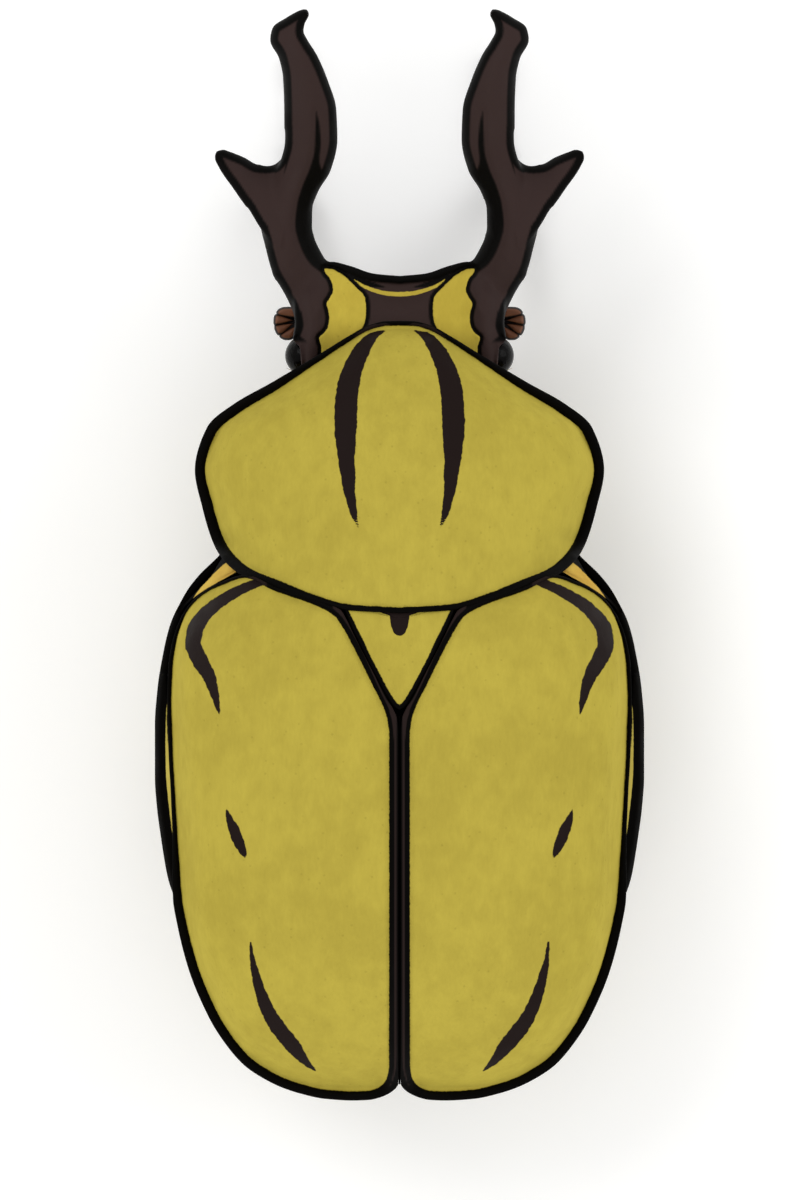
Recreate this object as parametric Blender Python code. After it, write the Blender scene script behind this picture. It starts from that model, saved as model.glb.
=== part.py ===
# A male antler-horned flower beetle, standing on the floor with its legs drawn in under the body.
#
# The head points along -Y, the beetle's left is +X, and the floor is Z = 0. The origin is on the
# floor under the middle of the whole length, horns included. Sizes and places are in millimetres
# and become metres where a mesh is made.

import math

import bmesh
import bpy
from mathutils import Vector

MM = 0.001
WELD = 1e-6
GAP = 0.3  # left between two sub-parts that touch
HALF_GAP = GAP / 2

# Driving sizes of the whole beetle
LENGTH = 31.7  # horn tips to the ends of the wing cases
FRONT = -LENGTH / 2
REAR = LENGTH / 2
CASE_HALF = 6.8  # widest half of the closed wing cases
BODY_HALF = 7.12  # and of the body, which shows as a thin ledge outside them
SHIELD_HALF = 5.96  # widest half of the pronotum
SHIELD_FRONT = -6.75  # front of the pronotum
COLLAR = 7.75  # height of its front edge over the floor
EDGE = 6.4  # height of the side edges over the floor
CROWN = 10.7  # height of the top of the wing cases
KEEL = 3.4  # height of the lowest line of the chest
FLANK = 1.5  # how far below their edges the underside meets its own sides
RIM = 0.4  # thickness of the plates along their edges
SHOULDER_BOSS = 0.35  # how far each wing case swells at its shoulder
TAIL_BOSS = 0.3  # and near its rear end

# Legs of the left side: the rounded hip in its socket, where the thigh, shin and foot meet, the
# foot's way over the floor, the thigh's half thickness, and the share of the shin and the length
# of each tooth
LEGS = {
    "fore": {
        "socket": (1.35, -1.45, 3.65),
        "socket_size": (0.95, 0.9, 1.0),
        "hip": (1.45, -1.95, 3.0),
        "knee": (2.7, -6.0, 3.5),
        "ankle": (3.25, -10.9, 0.62),
        "foot": [(3.0, -12.0), (2.7, -13.2), (2.7, -14.5)],
        "thick": 0.56,
        "teeth": [(0.55, 0.35), (0.72, 0.4), (0.9, 0.5)],
    },
    "mid": {
        "socket": (1.55, 3.7, 3.5),
        "socket_size": (0.95, 0.85, 0.95),
        "hip": (2.0, 3.5, 2.8),
        "knee": (5.7, 1.7, 3.72),
        "ankle": (6.15, 4.6, 0.62),
        "foot": [(6.25, 5.8), (6.25, 7.3), (6.05, 8.8)],
        "thick": 0.54,
        "teeth": [(0.55, 0.3)],
    },
    "hind": {
        "socket": (1.65, 7.0, 3.5),
        "socket_size": (1.1, 0.8, 0.95),
        "hip": (2.1, 7.15, 2.85),
        "knee": (6.0, 8.3, 3.75),
        "ankle": (5.3, 11.4, 0.62),
        "foot": [(5.0, 12.6), (4.2, 13.9), (3.1, 14.8)],
        "thick": 0.56,
        "teeth": [(0.55, 0.3)],
    },
}

# Materials: colour (linear), roughness
FINISHES = {
    "tomentum": ((0.468, 0.372, 0.058), 0.85),
    "cuticle": ((0.045, 0.028, 0.026), 0.35),
    "eye": ((0.004, 0.004, 0.004), 0.15),
    "antenna": ((0.17, 0.065, 0.03), 0.5),
    "flank": ((0.60, 0.41, 0.08), 0.8),
}


def clear_scene():
    for thing in list(bpy.data.objects):
        bpy.data.objects.remove(thing, do_unlink=True)


def make_materials():
    made = {}
    for name, (colour, roughness) in FINISHES.items():
        material = bpy.data.materials.new(name)
        material.use_nodes = True
        shader = material.node_tree.nodes["Principled BSDF"]
        shader.inputs["Base Color"].default_value = (*colour, 1.0)
        shader.inputs["Roughness"].default_value = roughness
        shader.inputs["Metallic"].default_value = 0.0
        made[name] = material
    return made


clear_scene()
MODEL = bpy.data.collections.new("beetle")
bpy.context.scene.collection.children.link(MODEL)
MATERIALS = make_materials()


# Curves

def smooth(knots):
    """Cubic through (station, value) knots that never overshoots them; level past both ends."""
    stations = [knot[0] for knot in knots]
    values = [knot[1] for knot in knots]
    spans = [b - a for a, b in zip(stations, stations[1:])]
    rises = [(b - a) / span for a, b, span in zip(values, values[1:], spans)]
    slopes = [rises[0]]
    for before, after in zip(rises, rises[1:]):
        turns = before * after <= 0
        slopes.append(0.0 if turns else 2 * before * after / (before + after))
    slopes.append(rises[-1])

    def value(station):
        if station <= stations[0]:
            return values[0]
        if station >= stations[-1]:
            return values[-1]
        i = next(k for k, end in enumerate(stations[1:]) if station <= end)
        t = (station - stations[i]) / spans[i]
        rest = 1 - t
        return (
            values[i] * (1 + 2 * t) * rest * rest
            + values[i + 1] * t * t * (3 - 2 * t)
            + spans[i] * t * rest * (slopes[i] * rest - slopes[i + 1] * t)
        )

    return value


def chain(points):
    """Smooth curve through points, read by the share of its length from 0 to 1."""
    shares = [0.0]
    for a, b in zip(points, points[1:]):
        shares.append(shares[-1] + (Vector(b) - Vector(a)).length)
    whole = shares[-1]
    axes = [smooth([(s / whole, v) for s, v in zip(shares, axis)]) for axis in zip(*points)]
    return lambda share: Vector([axis(share) for axis in axes])


def straight(points):
    """Chain of straight runs through points, read by the share of its length from 0 to 1."""
    lengths = [(Vector(b) - Vector(a)).length for a, b in zip(points, points[1:])]
    whole = sum(lengths)

    def at(share):
        left = share * whole
        for i, length in enumerate(lengths):
            if left <= length or i == len(lengths) - 1:
                return Vector(points[i]).lerp(Vector(points[i + 1]), min(left / length, 1))
            left -= length

    return at


def both_sides(half):
    """Closed outline from its left half, which runs from the front of the midline to the rear."""

    def outline(share):
        if share <= 0.5:
            return half(2 * share)
        point = half(2 - 2 * share)
        return Vector((-point.x, point.y))

    return outline


# Solids

def add(name, mesh, finish, smooth_angle=35):
    data = bpy.data.meshes.new(name)
    mesh.to_mesh(data)
    mesh.free()
    made = bpy.data.objects.new(name, data)
    made.data.materials.append(MATERIALS[finish])
    made.data.set_sharp_from_angle(angle=math.radians(smooth_angle))
    MODEL.objects.link(made)
    return made


def wrap(columns, rows, place):
    """Closed skin: a grid whose columns run round the piece and whose rows run from end to end."""
    mesh = bmesh.new()
    bmesh.ops.create_grid(mesh, x_segments=columns, y_segments=rows, size=0.5)
    for vertex in mesh.verts:
        around = vertex.co.x + 0.5
        along = vertex.co.y + 0.5
        vertex.co = Vector(place(around, along)) * MM
    bmesh.ops.remove_doubles(mesh, verts=mesh.verts, dist=WELD)
    bmesh.ops.holes_fill(mesh, edges=mesh.edges)
    bmesh.ops.recalc_face_normals(mesh, faces=mesh.faces)
    return mesh


def plate(outline, centre, top, bottom, columns=40, rings=8):
    """Solid between two height functions, over an outline that all shows from its centre."""
    rows = 2 * rings + 1
    hub = Vector(centre)

    def place(around, along):
        row = round(along * rows)
        upper = row <= rings
        reach = math.sin(math.pi / 2 * (row if upper else rows - row) / rings)
        point = hub + (outline(around) - hub) * reach
        height = top if upper else bottom
        return point.x, point.y, height(point.x, point.y)

    return wrap(columns, rows, place)


def shaft(line, half_width, half_depth, columns=10, rows=10, stations=None, floor=None):
    """Tapering limb along a curve; its width lies level and its depth stands square to it.

    The rows stand at even shares of the curve, or at the stations given, which are one more.
    """
    step = 1e-3

    def place(around, along):
        if stations:
            along = stations[round(along * rows)]
        ahead = (line(min(along + step, 1)) - line(max(along - step, 0))).normalized()
        across = ahead.cross(Vector((0, 0, 1))).normalized()
        upward = across.cross(ahead)
        angle = 2 * math.pi * (around + 0.5 / columns)
        point = line(along)
        point = point + across * (half_width(along) * math.cos(angle))
        point = point + upward * (half_depth(along) * math.sin(angle))
        if floor is not None:
            point.z = max(point.z, floor)
        return point

    return wrap(columns, rows, place)


def cut(mesh, point, normal):
    """Cuts away what lies on the side of a plane that its normal points to."""
    everything = mesh.verts[:] + mesh.edges[:] + mesh.faces[:]
    bmesh.ops.bisect_plane(
        mesh,
        geom=everything,
        dist=WELD,
        plane_co=Vector(point) * MM,
        plane_no=Vector(normal),
        clear_outer=True,
    )
    bmesh.ops.holes_fill(mesh, edges=mesh.edges)
    bmesh.ops.recalc_face_normals(mesh, faces=mesh.faces)
    return mesh


def largest_only(data):
    """Keeps the largest closed surface of a mesh, so that no scrap or sealed hollow stays."""
    mesh = bmesh.new()
    mesh.from_mesh(data)
    unseen = set(mesh.faces)
    shells = []
    while unseen:
        first = unseen.pop()
        shell = {first}
        front = [first]
        while front:
            face = front.pop()
            for edge in face.edges:
                for other in edge.link_faces:
                    if other in unseen:
                        unseen.discard(other)
                        shell.add(other)
                        front.append(other)
        shells.append(shell)
    keep = max(shells, key=len)
    loose = [face for face in mesh.faces if face not in keep]
    bmesh.ops.delete(mesh, geom=loose, context="FACES")
    mesh.to_mesh(data)
    mesh.free()


def fuse(base, extras):
    """Joins closed pieces to a base piece with one Boolean union."""
    group = bpy.data.collections.new(base.name + "_pieces")
    bpy.context.scene.collection.children.link(group)
    for piece in extras:
        MODEL.objects.unlink(piece)
        group.objects.link(piece)
    join = base.modifiers.new("join", "BOOLEAN")
    join.operation = "UNION"
    join.operand_type = "COLLECTION"
    join.collection = group
    join.solver = "EXACT"
    bpy.context.view_layer.update()
    graph = bpy.context.evaluated_depsgraph_get()
    whole = bpy.data.meshes.new_from_object(base.evaluated_get(graph))
    base.modifiers.clear()
    base.data = whole
    for piece in extras:
        bpy.data.objects.remove(piece)
    bpy.data.collections.remove(group)
    largest_only(base.data)
    return base


def mirror(left):
    """The right-hand twin of a left-hand piece."""
    right = left.copy()
    right.name = left.name.replace("left", "right")
    right.scale.x = -1
    MODEL.objects.link(right)
    return right


# Heights shared by the plates of the back and the belly

edge_height = smooth(
    [
        (SHIELD_FRONT, COLLAR),
        (-5.9, 7.35),
        (-4.6, 6.75),
        (-3.3, EDGE + 0.05),
        (-2, EDGE),
        (REAR - 3, EDGE),
        (REAR, EDGE - 0.1),
    ]
)
shield_crown = smooth(
    [(SHIELD_FRONT, COLLAR), (-6.3, 8.5), (-5.2, 9.2), (-3.2, 9.95), (-1, 10.4), (1.6, 10.5)]
)
case_crown = smooth(
    [
        (0, 10.35),
        (1.9, 10.5),
        (4.4, CROWN),
        (8, CROWN),
        (10.5, CROWN - 0.25),
        (12.5, 9.65),
        (14.2, 8.5),
        (REAR, 6.75),
    ]
)
case_dome_half = smooth(
    [
        (0.4, 5.5),
        (1.4, 6.1),
        (2.2, 6.5),
        (3.3, 6.82),
        (5, CASE_HALF + 0.06),
        (7, 6.74),
        (8.6, 6.7),
        (10, 6.62),
        (11.4, 6.36),
        (12.8, 5.93),
        (13.5, 5.63),
        (14.2, 5.2),
        (14.9, 4.7),
        (REAR, 4.4),
    ]
)
keel_height = smooth(
    [(-8.3, 5.1), (-4.6, 4.5), (-2, 3.7), (1, KEEL), (7, KEEL), (10, 3.6), (13, 4.3), (15.4, 5.6)]
)


def dome(share, roundness, power):
    """1 on the midline and 0 at the edge; share is the distance out as part of the half width."""
    return (1 - min(abs(share), 1) ** roundness) ** power


def swelling(x, y, place, reach):
    """1 at a place and falling off round it, on both sides of the midline."""
    across = (abs(x) - place[0]) / reach[0]
    along = (y - place[1]) / reach[1]
    return math.exp(-(across * across + along * along))


def case_top(x, y):
    rise = case_crown(y) - edge_height(y)
    height = edge_height(y) + rise * dome(x / case_dome_half(y), 2.9, 0.55)
    height += SHOULDER_BOSS * swelling(x, y, (5.0, 3.2), (0.8, 1.3))
    height += TAIL_BOSS * swelling(x, y, (3.9, 13.2), (0.9, 0.9))
    return height


def belly(x, y, half):
    """Underside of the body, a keel that rises to its sides under the edges of the plates."""
    side = edge_height(y) - FLANK
    low = min(keel_height(y), side)
    return low + (side - low) * min(abs(x) / half, 1) ** 1.7


# Pronotum

SHIELD_REAR = 1.46
SHIELD_EDGE = chain(
    [
        (0, SHIELD_FRONT),
        (1.13, -6.55),
        (3.14, -5.52),
        (4.63, -4.6),
        (5.5, -3.85),
        (SHIELD_HALF, -2.5),
        (5.72, -1.25),
        (5.46, -0.55),
        (5.1, -0.12),
        (4.4, 0.38),
        (3.51, 0.74),
        (2.5, 1.1),
        (1.4, 1.38),
        (0, SHIELD_REAR),
    ]
)
shield_dome_half = smooth(
    [
        (SHIELD_FRONT, 0.05),
        (-6.55, 1.13),
        (-5.52, 3.14),
        (-4.6, 4.63),
        (-3.8, 5.5),
        (-2.5, SHIELD_HALF),
        (-1.2, 5.74),
        (-0.25, 5.45),
        (1.6, 5.6),
    ]
)


def shield_top(x, y):
    rise = shield_crown(y) - edge_height(y)
    return edge_height(y) + rise * dome(x / shield_dome_half(y), 2.3, 0.62)


def shield_underside(x, y):
    return edge_height(y) - RIM


def make_pronotum():
    mesh = plate(both_sides(SHIELD_EDGE), (0, -2.4), shield_top, shield_underside, 52, 7)
    add("pronotum", mesh, "tomentum")


# Wing cases, scutellum and the plates at the shoulders

SCUTELLUM_HALF = 1.46
SCUTELLUM_FRONT = SHIELD_REAR + GAP
SCUTELLUM_TIP = 4.36
SCUTELLUM_DEPTH = 1.2


def make_scutellum():
    half = straight(
        [
            (0, SCUTELLUM_FRONT),
            (SCUTELLUM_HALF, SCUTELLUM_FRONT - 0.05),
            (0.8, 3.0),
            (0.5, 3.55),
            (0.22, SCUTELLUM_TIP - 0.3),
            (0, SCUTELLUM_TIP),
        ]
    )
    mesh = plate(
        both_sides(half), (0, 2.6), case_top, lambda x, y: case_top(x, y) - SCUTELLUM_DEPTH, 28, 3
    )
    add("scutellum", mesh, "tomentum")


def make_wing_cases():
    outline = straight(
        [
            (HALF_GAP, 9),
            (HALF_GAP, 5.0),
            (0.25, 4.75),
            (0.45, 4.3),
            (0.73, 3.76),
            (1.03, 3.2),
            (1.36, 2.57),
            (1.65, 2.05),
            (1.8, 1.78),
            (2.45, 1.45),
            (3.61, 1.04),
            (4.6, 0.78),
            (5.2, 1.05),
            (5.69, 1.38),
            (6.07, 1.72),
            (6.4, 2.12),
            (6.62, 2.6),
            (6.75, 3.3),
            (CASE_HALF, 4.4),
            (CASE_HALF - 0.02, 5.4),
            (6.7, 6.8),
            (6.66, 8.6),
            (6.58, 10.0),
            (6.31, 11.37),
            (5.88, 12.77),
            (5.58, 13.48),
            (5.14, 14.18),
            (4.5, 14.88),
            (3.9, 15.27),
            (3.2, 15.6),
            (2.4, 15.8),
            (1.5, REAR - 0.01),
            (0.8, REAR - 0.02),
            (0.35, REAR - 0.25),
            (HALF_GAP, REAR - 0.6),
            (HALF_GAP, 9),
        ]
    )
    mesh = plate(outline, (3.4, 8.0), case_top, shield_underside, 64, 6)
    mirror(add("elytron_left", mesh, "tomentum"))


SHOULDER_CORNER = Vector((5.28, 0.08))  # front of the shoulder plate's outer edge
SHOULDER_INWARD = Vector((-0.79, 0.61))  # the way across the plate, towards the wing case
SHOULDER_BULGE = 0.14  # how far the outer edge bows out
SHOULDER_SLOPE = 0.35  # width of the slope that rises from it
shoulder_inner = smooth([(4.8, 8.3), (5.6, 7.7), (6.6, EDGE)])
shoulder_outer = smooth([(4.8, 7.2), (5.9, 6.65), (6.6, EDGE)])


def shoulder_top(x, y):
    """Slope from the wing case's shoulder down to the plate's outer edge."""
    across = (Vector((x, y)) - SHOULDER_CORNER).dot(SHOULDER_INWARD)
    share = min(max((across + SHOULDER_BULGE) / SHOULDER_SLOPE, 0), 1)
    return shoulder_outer(x) + (shoulder_inner(x) - shoulder_outer(x)) * share


def make_shoulder_plates():
    outline = chain(
        [
            (4.78, 0.5),
            (4.95, 0.33),
            (5.28, 0.08),
            (5.55, 0.28),
            (5.9, 0.65),
            (6.25, 1.1),
            (6.5, 1.5),
            (6.62, 1.8),
            (6.45, 1.68),
            (6.2, 1.42),
            (5.85, 1.12),
            (5.34, 0.78),
            (4.78, 0.5),
        ]
    )
    mesh = plate(outline, (5.6, 0.65), shoulder_top, shield_underside, 24, 3)
    mirror(add("mesepimeron_left", mesh, "flank"))


# Underside

CHEST_REAR = 7.9  # where the chest ends and the abdomen starts


def under_top(x, y):
    return edge_height(y) - RIM - GAP


def flipped(vector):
    """The same vector for the other side of the body."""
    return Vector((-vector.x, vector.y, vector.z))


def with_hips(body, leg):
    """Adds a leg pair's rounded hips to the body, each cut flat where its thigh meets it."""
    hips = []
    seat = Vector(leg["hip"])
    way = (Vector(leg["knee"]) - seat).normalized()
    place = Vector(leg["socket"])
    for turned in (Vector, flipped):
        mesh = bmesh.new()
        bmesh.ops.create_uvsphere(mesh, u_segments=10, v_segments=6, radius=MM)
        for vertex in mesh.verts:
            vertex.co = Vector([c * s for c, s in zip(vertex.co, leg["socket_size"])])
        bmesh.ops.translate(mesh, vec=turned(place) * MM, verts=mesh.verts)
        mesh = cut(mesh, turned(seat - way * HALF_GAP), turned(way))
        hips.append(add("hip", mesh, "cuticle"))
    return fuse(body, hips)


def make_prosternum():
    half = straight(
        [
            (0, -4.55),
            (1.6, -4.5),
            (3.2, -4.1),
            (4.4, -3.5),
            (5.2, -2.4),
            (5.2, -1.2),
            (4.8, -0.2),
            (3.6, 0.3),
            (0, 0.3),
        ]
    )
    mesh = plate(
        both_sides(half), (0, -2.0), under_top, lambda x, y: belly(x, y, 5.6), 32, 4
    )
    with_hips(add("prosternum", mesh, "cuticle"), LEGS["fore"])


def make_metathorax():
    half = straight(
        [
            (0, 0.65),
            (4.6, 0.65),
            (5.6, 1.0),
            (6.25, 1.5),
            (6.7, 2.1),
            (6.93, 2.9),
            (BODY_HALF - 0.08, 3.9),
            (BODY_HALF, 5.0),
            (BODY_HALF, 6.5),
            (7.05, 7.5),
            (6.95, CHEST_REAR),
            (0, CHEST_REAR),
        ]
    )
    mesh = plate(
        both_sides(half), (0, 4.3), under_top, lambda x, y: belly(x, y, BODY_HALF), 40, 4
    )
    body = add("metathorax", mesh, "cuticle")
    with_hips(with_hips(body, LEGS["mid"]), LEGS["hind"])


VENTRITES = 6
ABDOMEN_FRONT = CHEST_REAR + GAP
ABDOMEN_REAR = REAR - 0.45
TAIL_CUT = Vector((0, 14.75, 5.2))  # where the slanted last plate, the pygidium, is parted off
TAIL_SLANT = Vector((0, 1, 0.35)).normalized()
abdomen_half = smooth(
    [
        (ABDOMEN_FRONT, 6.96),
        (8.9, 6.86),
        (9.6, 6.7),
        (10.4, 6.35),
        (11.5, 5.9),
        (13, 5.2),
        (14.2, 4.3),
        (15, 3.3),
        (ABDOMEN_REAR, 2.2),
    ]
)


def abdomen_mesh():
    """The whole hind body under the wing cases, each belly plate lapping over the next."""
    rows = 2 * VENTRITES + 2
    columns = 20
    across = 5  # of them on the flat roof
    lap = 0.16

    def place(around, along):
        row = round(along * rows)
        y = ABDOMEN_FRONT + (ABDOMEN_REAR - ABDOMEN_FRONT) * row / rows
        stepped = lap if row % 2 == 0 and row > 0 else 0.0
        half = abdomen_half(y)
        roof = under_top(0, y)
        column = round(around * columns) % columns
        if column <= across:
            return half * (1 - 2 * column / across), y, roof
        angle = math.pi * (column - across - 1) / (columns - across - 2)
        x = -half * math.cos(angle)
        return x, y, min(belly(x, y, half), roof - 0.2) + stepped * math.sin(angle)

    return wrap(columns, rows, place)


def make_abdomen():
    mesh = cut(abdomen_mesh(), TAIL_CUT - TAIL_SLANT * HALF_GAP, TAIL_SLANT)
    add("abdomen", mesh, "cuticle")
    mesh = cut(abdomen_mesh(), TAIL_CUT + TAIL_SLANT * HALF_GAP, -TAIL_SLANT)
    add("pygidium", mesh, "tomentum")


# Head

HEAD_CORNER = Vector((2.0, -8.5))  # inner end of the seat of each horn
HEAD_NOTCH = Vector((3.05, -7.35))  # outer end of it
HEAD_SIDE = 2.55  # half width between the eyes
HEAD_REAR = -4.85
head_roof = smooth(
    [(-8.6, 6.2), (-7.9, 6.45), (-7.2, 6.8), (-6.6, 6.92), (-5.9, 6.5), (-4.9, 6.1)]
)
head_floor = smooth([(-8.6, 5.15), (-7.6, 4.85), (-6.4, 4.65), (-4.9, 4.75)])


def head_top(x, y):
    """Roof of the head: hollow between the horns, and raised where each horn stands."""
    height = head_roof(y) - 0.045 * x * x
    height += 0.45 * swelling(x, y, (2.6, -7.7), (0.7, 0.9))
    height -= 0.3 * swelling(x, y, (0, -7.7), (1.3, 0.7))
    return height


def head_bottom(x, y):
    return head_floor(y) + 0.02 * x * x


def make_head():
    half = straight(
        [
            (0, -8.05),
            (1.0, -8.17),
            HEAD_CORNER,
            HEAD_NOTCH,
            (2.95, -6.85),
            (HEAD_SIDE, -6.6),
            (HEAD_SIDE, -5.2),
            (2.3, HEAD_REAR),
            (0, HEAD_REAR),
        ]
    )
    mesh = plate(both_sides(half), (0, -6.5), head_top, head_bottom, 48, 5)
    add("head", mesh, "cuticle")


EYE_RADIUS = 0.66


def make_eyes():
    centre = Vector((2.82, -5.85, 5.6))
    mesh = bmesh.new()
    bmesh.ops.create_uvsphere(mesh, u_segments=14, v_segments=9, radius=EYE_RADIUS * MM)
    bmesh.ops.translate(mesh, vec=centre * MM, verts=mesh.verts)
    mesh = cut(mesh, (HEAD_SIDE + GAP, 0, 0), (-1, 0, 0))
    mirror(add("eye_left", mesh, "eye"))


LEAF_TURNS = (-30, 2, 34)  # degrees from straight out, towards the rear
LEAF_LENGTH = 0.95


def make_antennae():
    """Short stem under the side of the head, and a club of three leaves spread like a fan."""
    root = Vector((2.5, -7.2, 4.3))
    joint = Vector((2.92, -6.9, 4.35))
    stem_line = chain([root, (2.7, -7.1, 4.28), joint])
    stem_half = smooth([(0, 0.25), (1, 0.25)])
    stem = add("antenna_left", shaft(stem_line, stem_half, stem_half, 6, 3), "antenna")
    flat = smooth([(0, 0.14), (0.5, 0.2), (0.9, 0.2), (1, 0.08)])
    tall = smooth([(0, 0.2), (0.5, 0.36), (0.85, 0.34), (1, 0.1)])
    leaves = []
    for turn in LEAF_TURNS:
        way = Vector((math.cos(math.radians(turn)), math.sin(math.radians(turn)), 0.12))
        line = chain([joint - way * 0.1, joint + way * 0.5, joint + way * LEAF_LENGTH])
        leaves.append(add("leaf", shaft(line, flat, tall, 6, 4), "antenna"))
    mirror(fuse(stem, leaves))


CHIN_HEIGHT = 3.75


def make_mouthparts():
    """Chin plate under the head with a pair of jaw feelers."""
    half = straight([(0, -7.9), (0.8, -7.8), (1.35, -7.2), (1.5, -6.2), (0.9, -5.5), (0, -5.4)])
    ceiling = smooth([(-8, 4.58), (-7, 4.38), (-5.4, 4.28)])
    mesh = plate(
        both_sides(half),
        (0, -6.6),
        lambda x, y: ceiling(y),
        lambda x, y: CHIN_HEIGHT + 0.2 * x * x,
        18,
        2,
    )
    chin = add("mouthparts", mesh, "cuticle")
    girth = smooth([(0, 0.22), (0.45, 0.25), (0.55, 0.22), (0.85, 0.27), (1, 0.12)])
    feelers = []
    for side in (1, -1):
        line = chain(
            [
                (side * 1.1, -6.9, 4.1),
                (side * 1.5, -7.35, 3.95),
                (side * 1.55, -7.75, 4.0),
                (side * 1.25, -8.05, 4.15),
            ]
        )
        feelers.append(add("feeler", shaft(line, girth, girth, 6, 7), "cuticle"))
    fuse(chin, feelers)


# Horns

def blade(pairs, heights, half_depth, columns, rows):
    """Antler-like blade between an outer and an inner edge, each a smooth line seen from above."""
    outer = chain([pair[0] for pair in pairs])
    inner = chain([pair[1] for pair in pairs])

    def place(around, along):
        a = outer(along)
        b = inner(along)
        middle = (a + b) / 2
        reach = (a - b) / 2
        angle = 2 * math.pi * around
        spread = reach * math.cos(angle)
        lift = heights(along) + half_depth(along) * math.sin(angle)
        lean = 0.35 * min(4 * along, 1) * half_depth(along) * math.sin(angle)
        return middle.x + spread.x, middle.y + spread.y + lean, lift

    return wrap(columns, rows, place)


BEAM_EDGES = [
    ((3.36, -7.53), (2.2, -8.75)),
    ((3.80, -8.25), (2.42, -9.15)),
    ((3.98, -9.0), (2.58, -9.6)),
    ((4.12, -9.75), (2.55, -10.15)),
    ((3.92, -10.6), (2.36, -10.7)),
    ((3.55, -11.4), (2.0, -11.3)),
    ((3.40, -12.15), (1.84, -12.15)),
    ((3.38, -13.0), (1.88, -13.0)),
    ((3.42, -13.9), (2.1, -13.85)),
    ((3.55, -14.6), (2.42, -14.5)),
    ((3.73, -15.05), (2.68, -15.0)),
    ((3.62, -15.4), (2.84, -15.3)),
    ((3.28, -15.68), (2.8, -15.52)),
    ((2.92, FRONT), (2.68, FRONT + 0.12)),
]
TINE_EDGES = [
    ((3.7, -9.2), (3.0, -12.0)),
    ((4.17, -9.75), (3.42, -11.66)),
    ((4.42, -10.18), (3.74, -11.41)),
    ((4.62, -10.44), (4.12, -11.42)),
    ((4.9, -10.78), (4.55, -11.63)),
    ((5.18, -11.15), (4.95, -11.79)),
    ((5.42, -11.55), (5.25, -11.86)),
]


HORN_HEIGHT = 11.3  # of the tips' middle line over the floor


def make_horns():
    rise = smooth([(0, 5.75), (0.2, 6.15), (0.4, 7.1), (0.6, 8.5), (0.8, 10.0), (1, HORN_HEIGHT)])
    depth = smooth([(0, 0.62), (0.3, 0.66), (0.6, 0.56), (0.85, 0.45), (1, 0.16)])
    beam = add("horn_left", blade(BEAM_EDGES, rise, depth, 12, 24), "cuticle")
    tine_rise = smooth([(0, 6.95), (0.5, 7.3), (1, 7.9)])
    tine_depth = smooth([(0, 0.42), (0.6, 0.36), (1, 0.12)])
    tine = add("tine", blade(TINE_EDGES, tine_rise, tine_depth, 8, 7), "cuticle")
    mirror(fuse(beam, [tine]))


# Legs

SOLE = 0.27  # height of the foot's middle line over the floor


def cut_at_joint(mesh, joint, inward, outward, keep_first):
    """Ends a limb at the plane that halves the bend, half a gap short of the joint."""
    normal = (inward.normalized() + outward.normalized()).normalized()
    if keep_first:
        return cut(mesh, joint - normal * HALF_GAP, normal)
    return cut(mesh, joint + normal * HALF_GAP, -normal)


def make_femur(name, leg):
    hip, knee, ankle = Vector(leg["hip"]), Vector(leg["knee"]), Vector(leg["ankle"])
    run = knee - hip
    way = run.normalized()
    line = chain([hip - way * 0.3, hip + run * 0.5 + Vector((0, 0, -0.12)), knee + way * 0.6])
    girth = smooth([(0, 0.7), (0.15, 0.8), (0.45, 1), (0.8, 0.75), (1, 0.62)])
    thick = leg["thick"]
    mesh = shaft(line, lambda s: thick * girth(s), lambda s: 0.9 * thick * girth(s), 8, 8)
    mesh = cut_at_joint(mesh, hip, run, run, False)
    mesh = cut_at_joint(mesh, knee, run, ankle - knee, True)
    add(name, mesh, "cuticle")


SHIN_HALF = 0.3  # half width of a shin where its teeth stand
TOOTH_LEAN = 0.32  # how far a tooth or spur leans towards the foot
SPUR_SHARE = 0.88  # place of the inner spur along the shin
SPUR_REACH = 0.75


def make_tibia(name, leg):
    """Shin with teeth along its outer edge and a spur inside its lower end."""
    knee, ankle = Vector(leg["knee"]), Vector(leg["ankle"])
    hip = Vector(leg["hip"])
    run = ankle - knee
    way = run.normalized()
    foot_way = Vector((*leg["foot"][0], SOLE)) - ankle
    line = chain([knee - way * 0.5, knee + run * 0.5, ankle + way * 0.4])
    wide = smooth([(0, 0.27), (0.2, 0.3), (0.7, 0.36), (0.9, 0.42), (1, 0.36)])
    deep = smooth([(0, 0.27), (0.2, 0.3), (0.7, 0.33), (0.9, 0.36), (1, 0.3)])
    mesh = shaft(line, wide, deep, 8, 7)
    mesh = cut_at_joint(mesh, knee, knee - hip, run, False)
    mesh = cut_at_joint(mesh, ankle, run, foot_way, True)
    body = add(name, mesh, "cuticle")
    outward = Vector((1, 0, 0))
    spikes = []
    for share, length in leg["teeth"]:
        tip_offset = outward * (SHIN_HALF + length) + way * TOOTH_LEAN
        spikes.append((share, tip_offset))
    spikes.append((SPUR_SHARE, way * TOOTH_LEAN - outward * SPUR_REACH))
    taper = smooth([(0, 0.22), (0.6, 0.16), (1, 0.05)])
    pieces = []
    for share, tip_offset in spikes:
        root = knee + run * share
        spike_line = chain([root, root + tip_offset / 2, root + tip_offset])
        pieces.append(add("spike", shaft(spike_line, taper, taper, 5, 2), "cuticle"))
    fuse(body, pieces)


FOOT_JOINTS = [0.0, 0.22, 0.4, 0.57, 0.73, 1.0]
JOINT_WAIST = 0.25  # half width of a foot joint where it starts
JOINT_END = 0.36  # and where it ends


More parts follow.
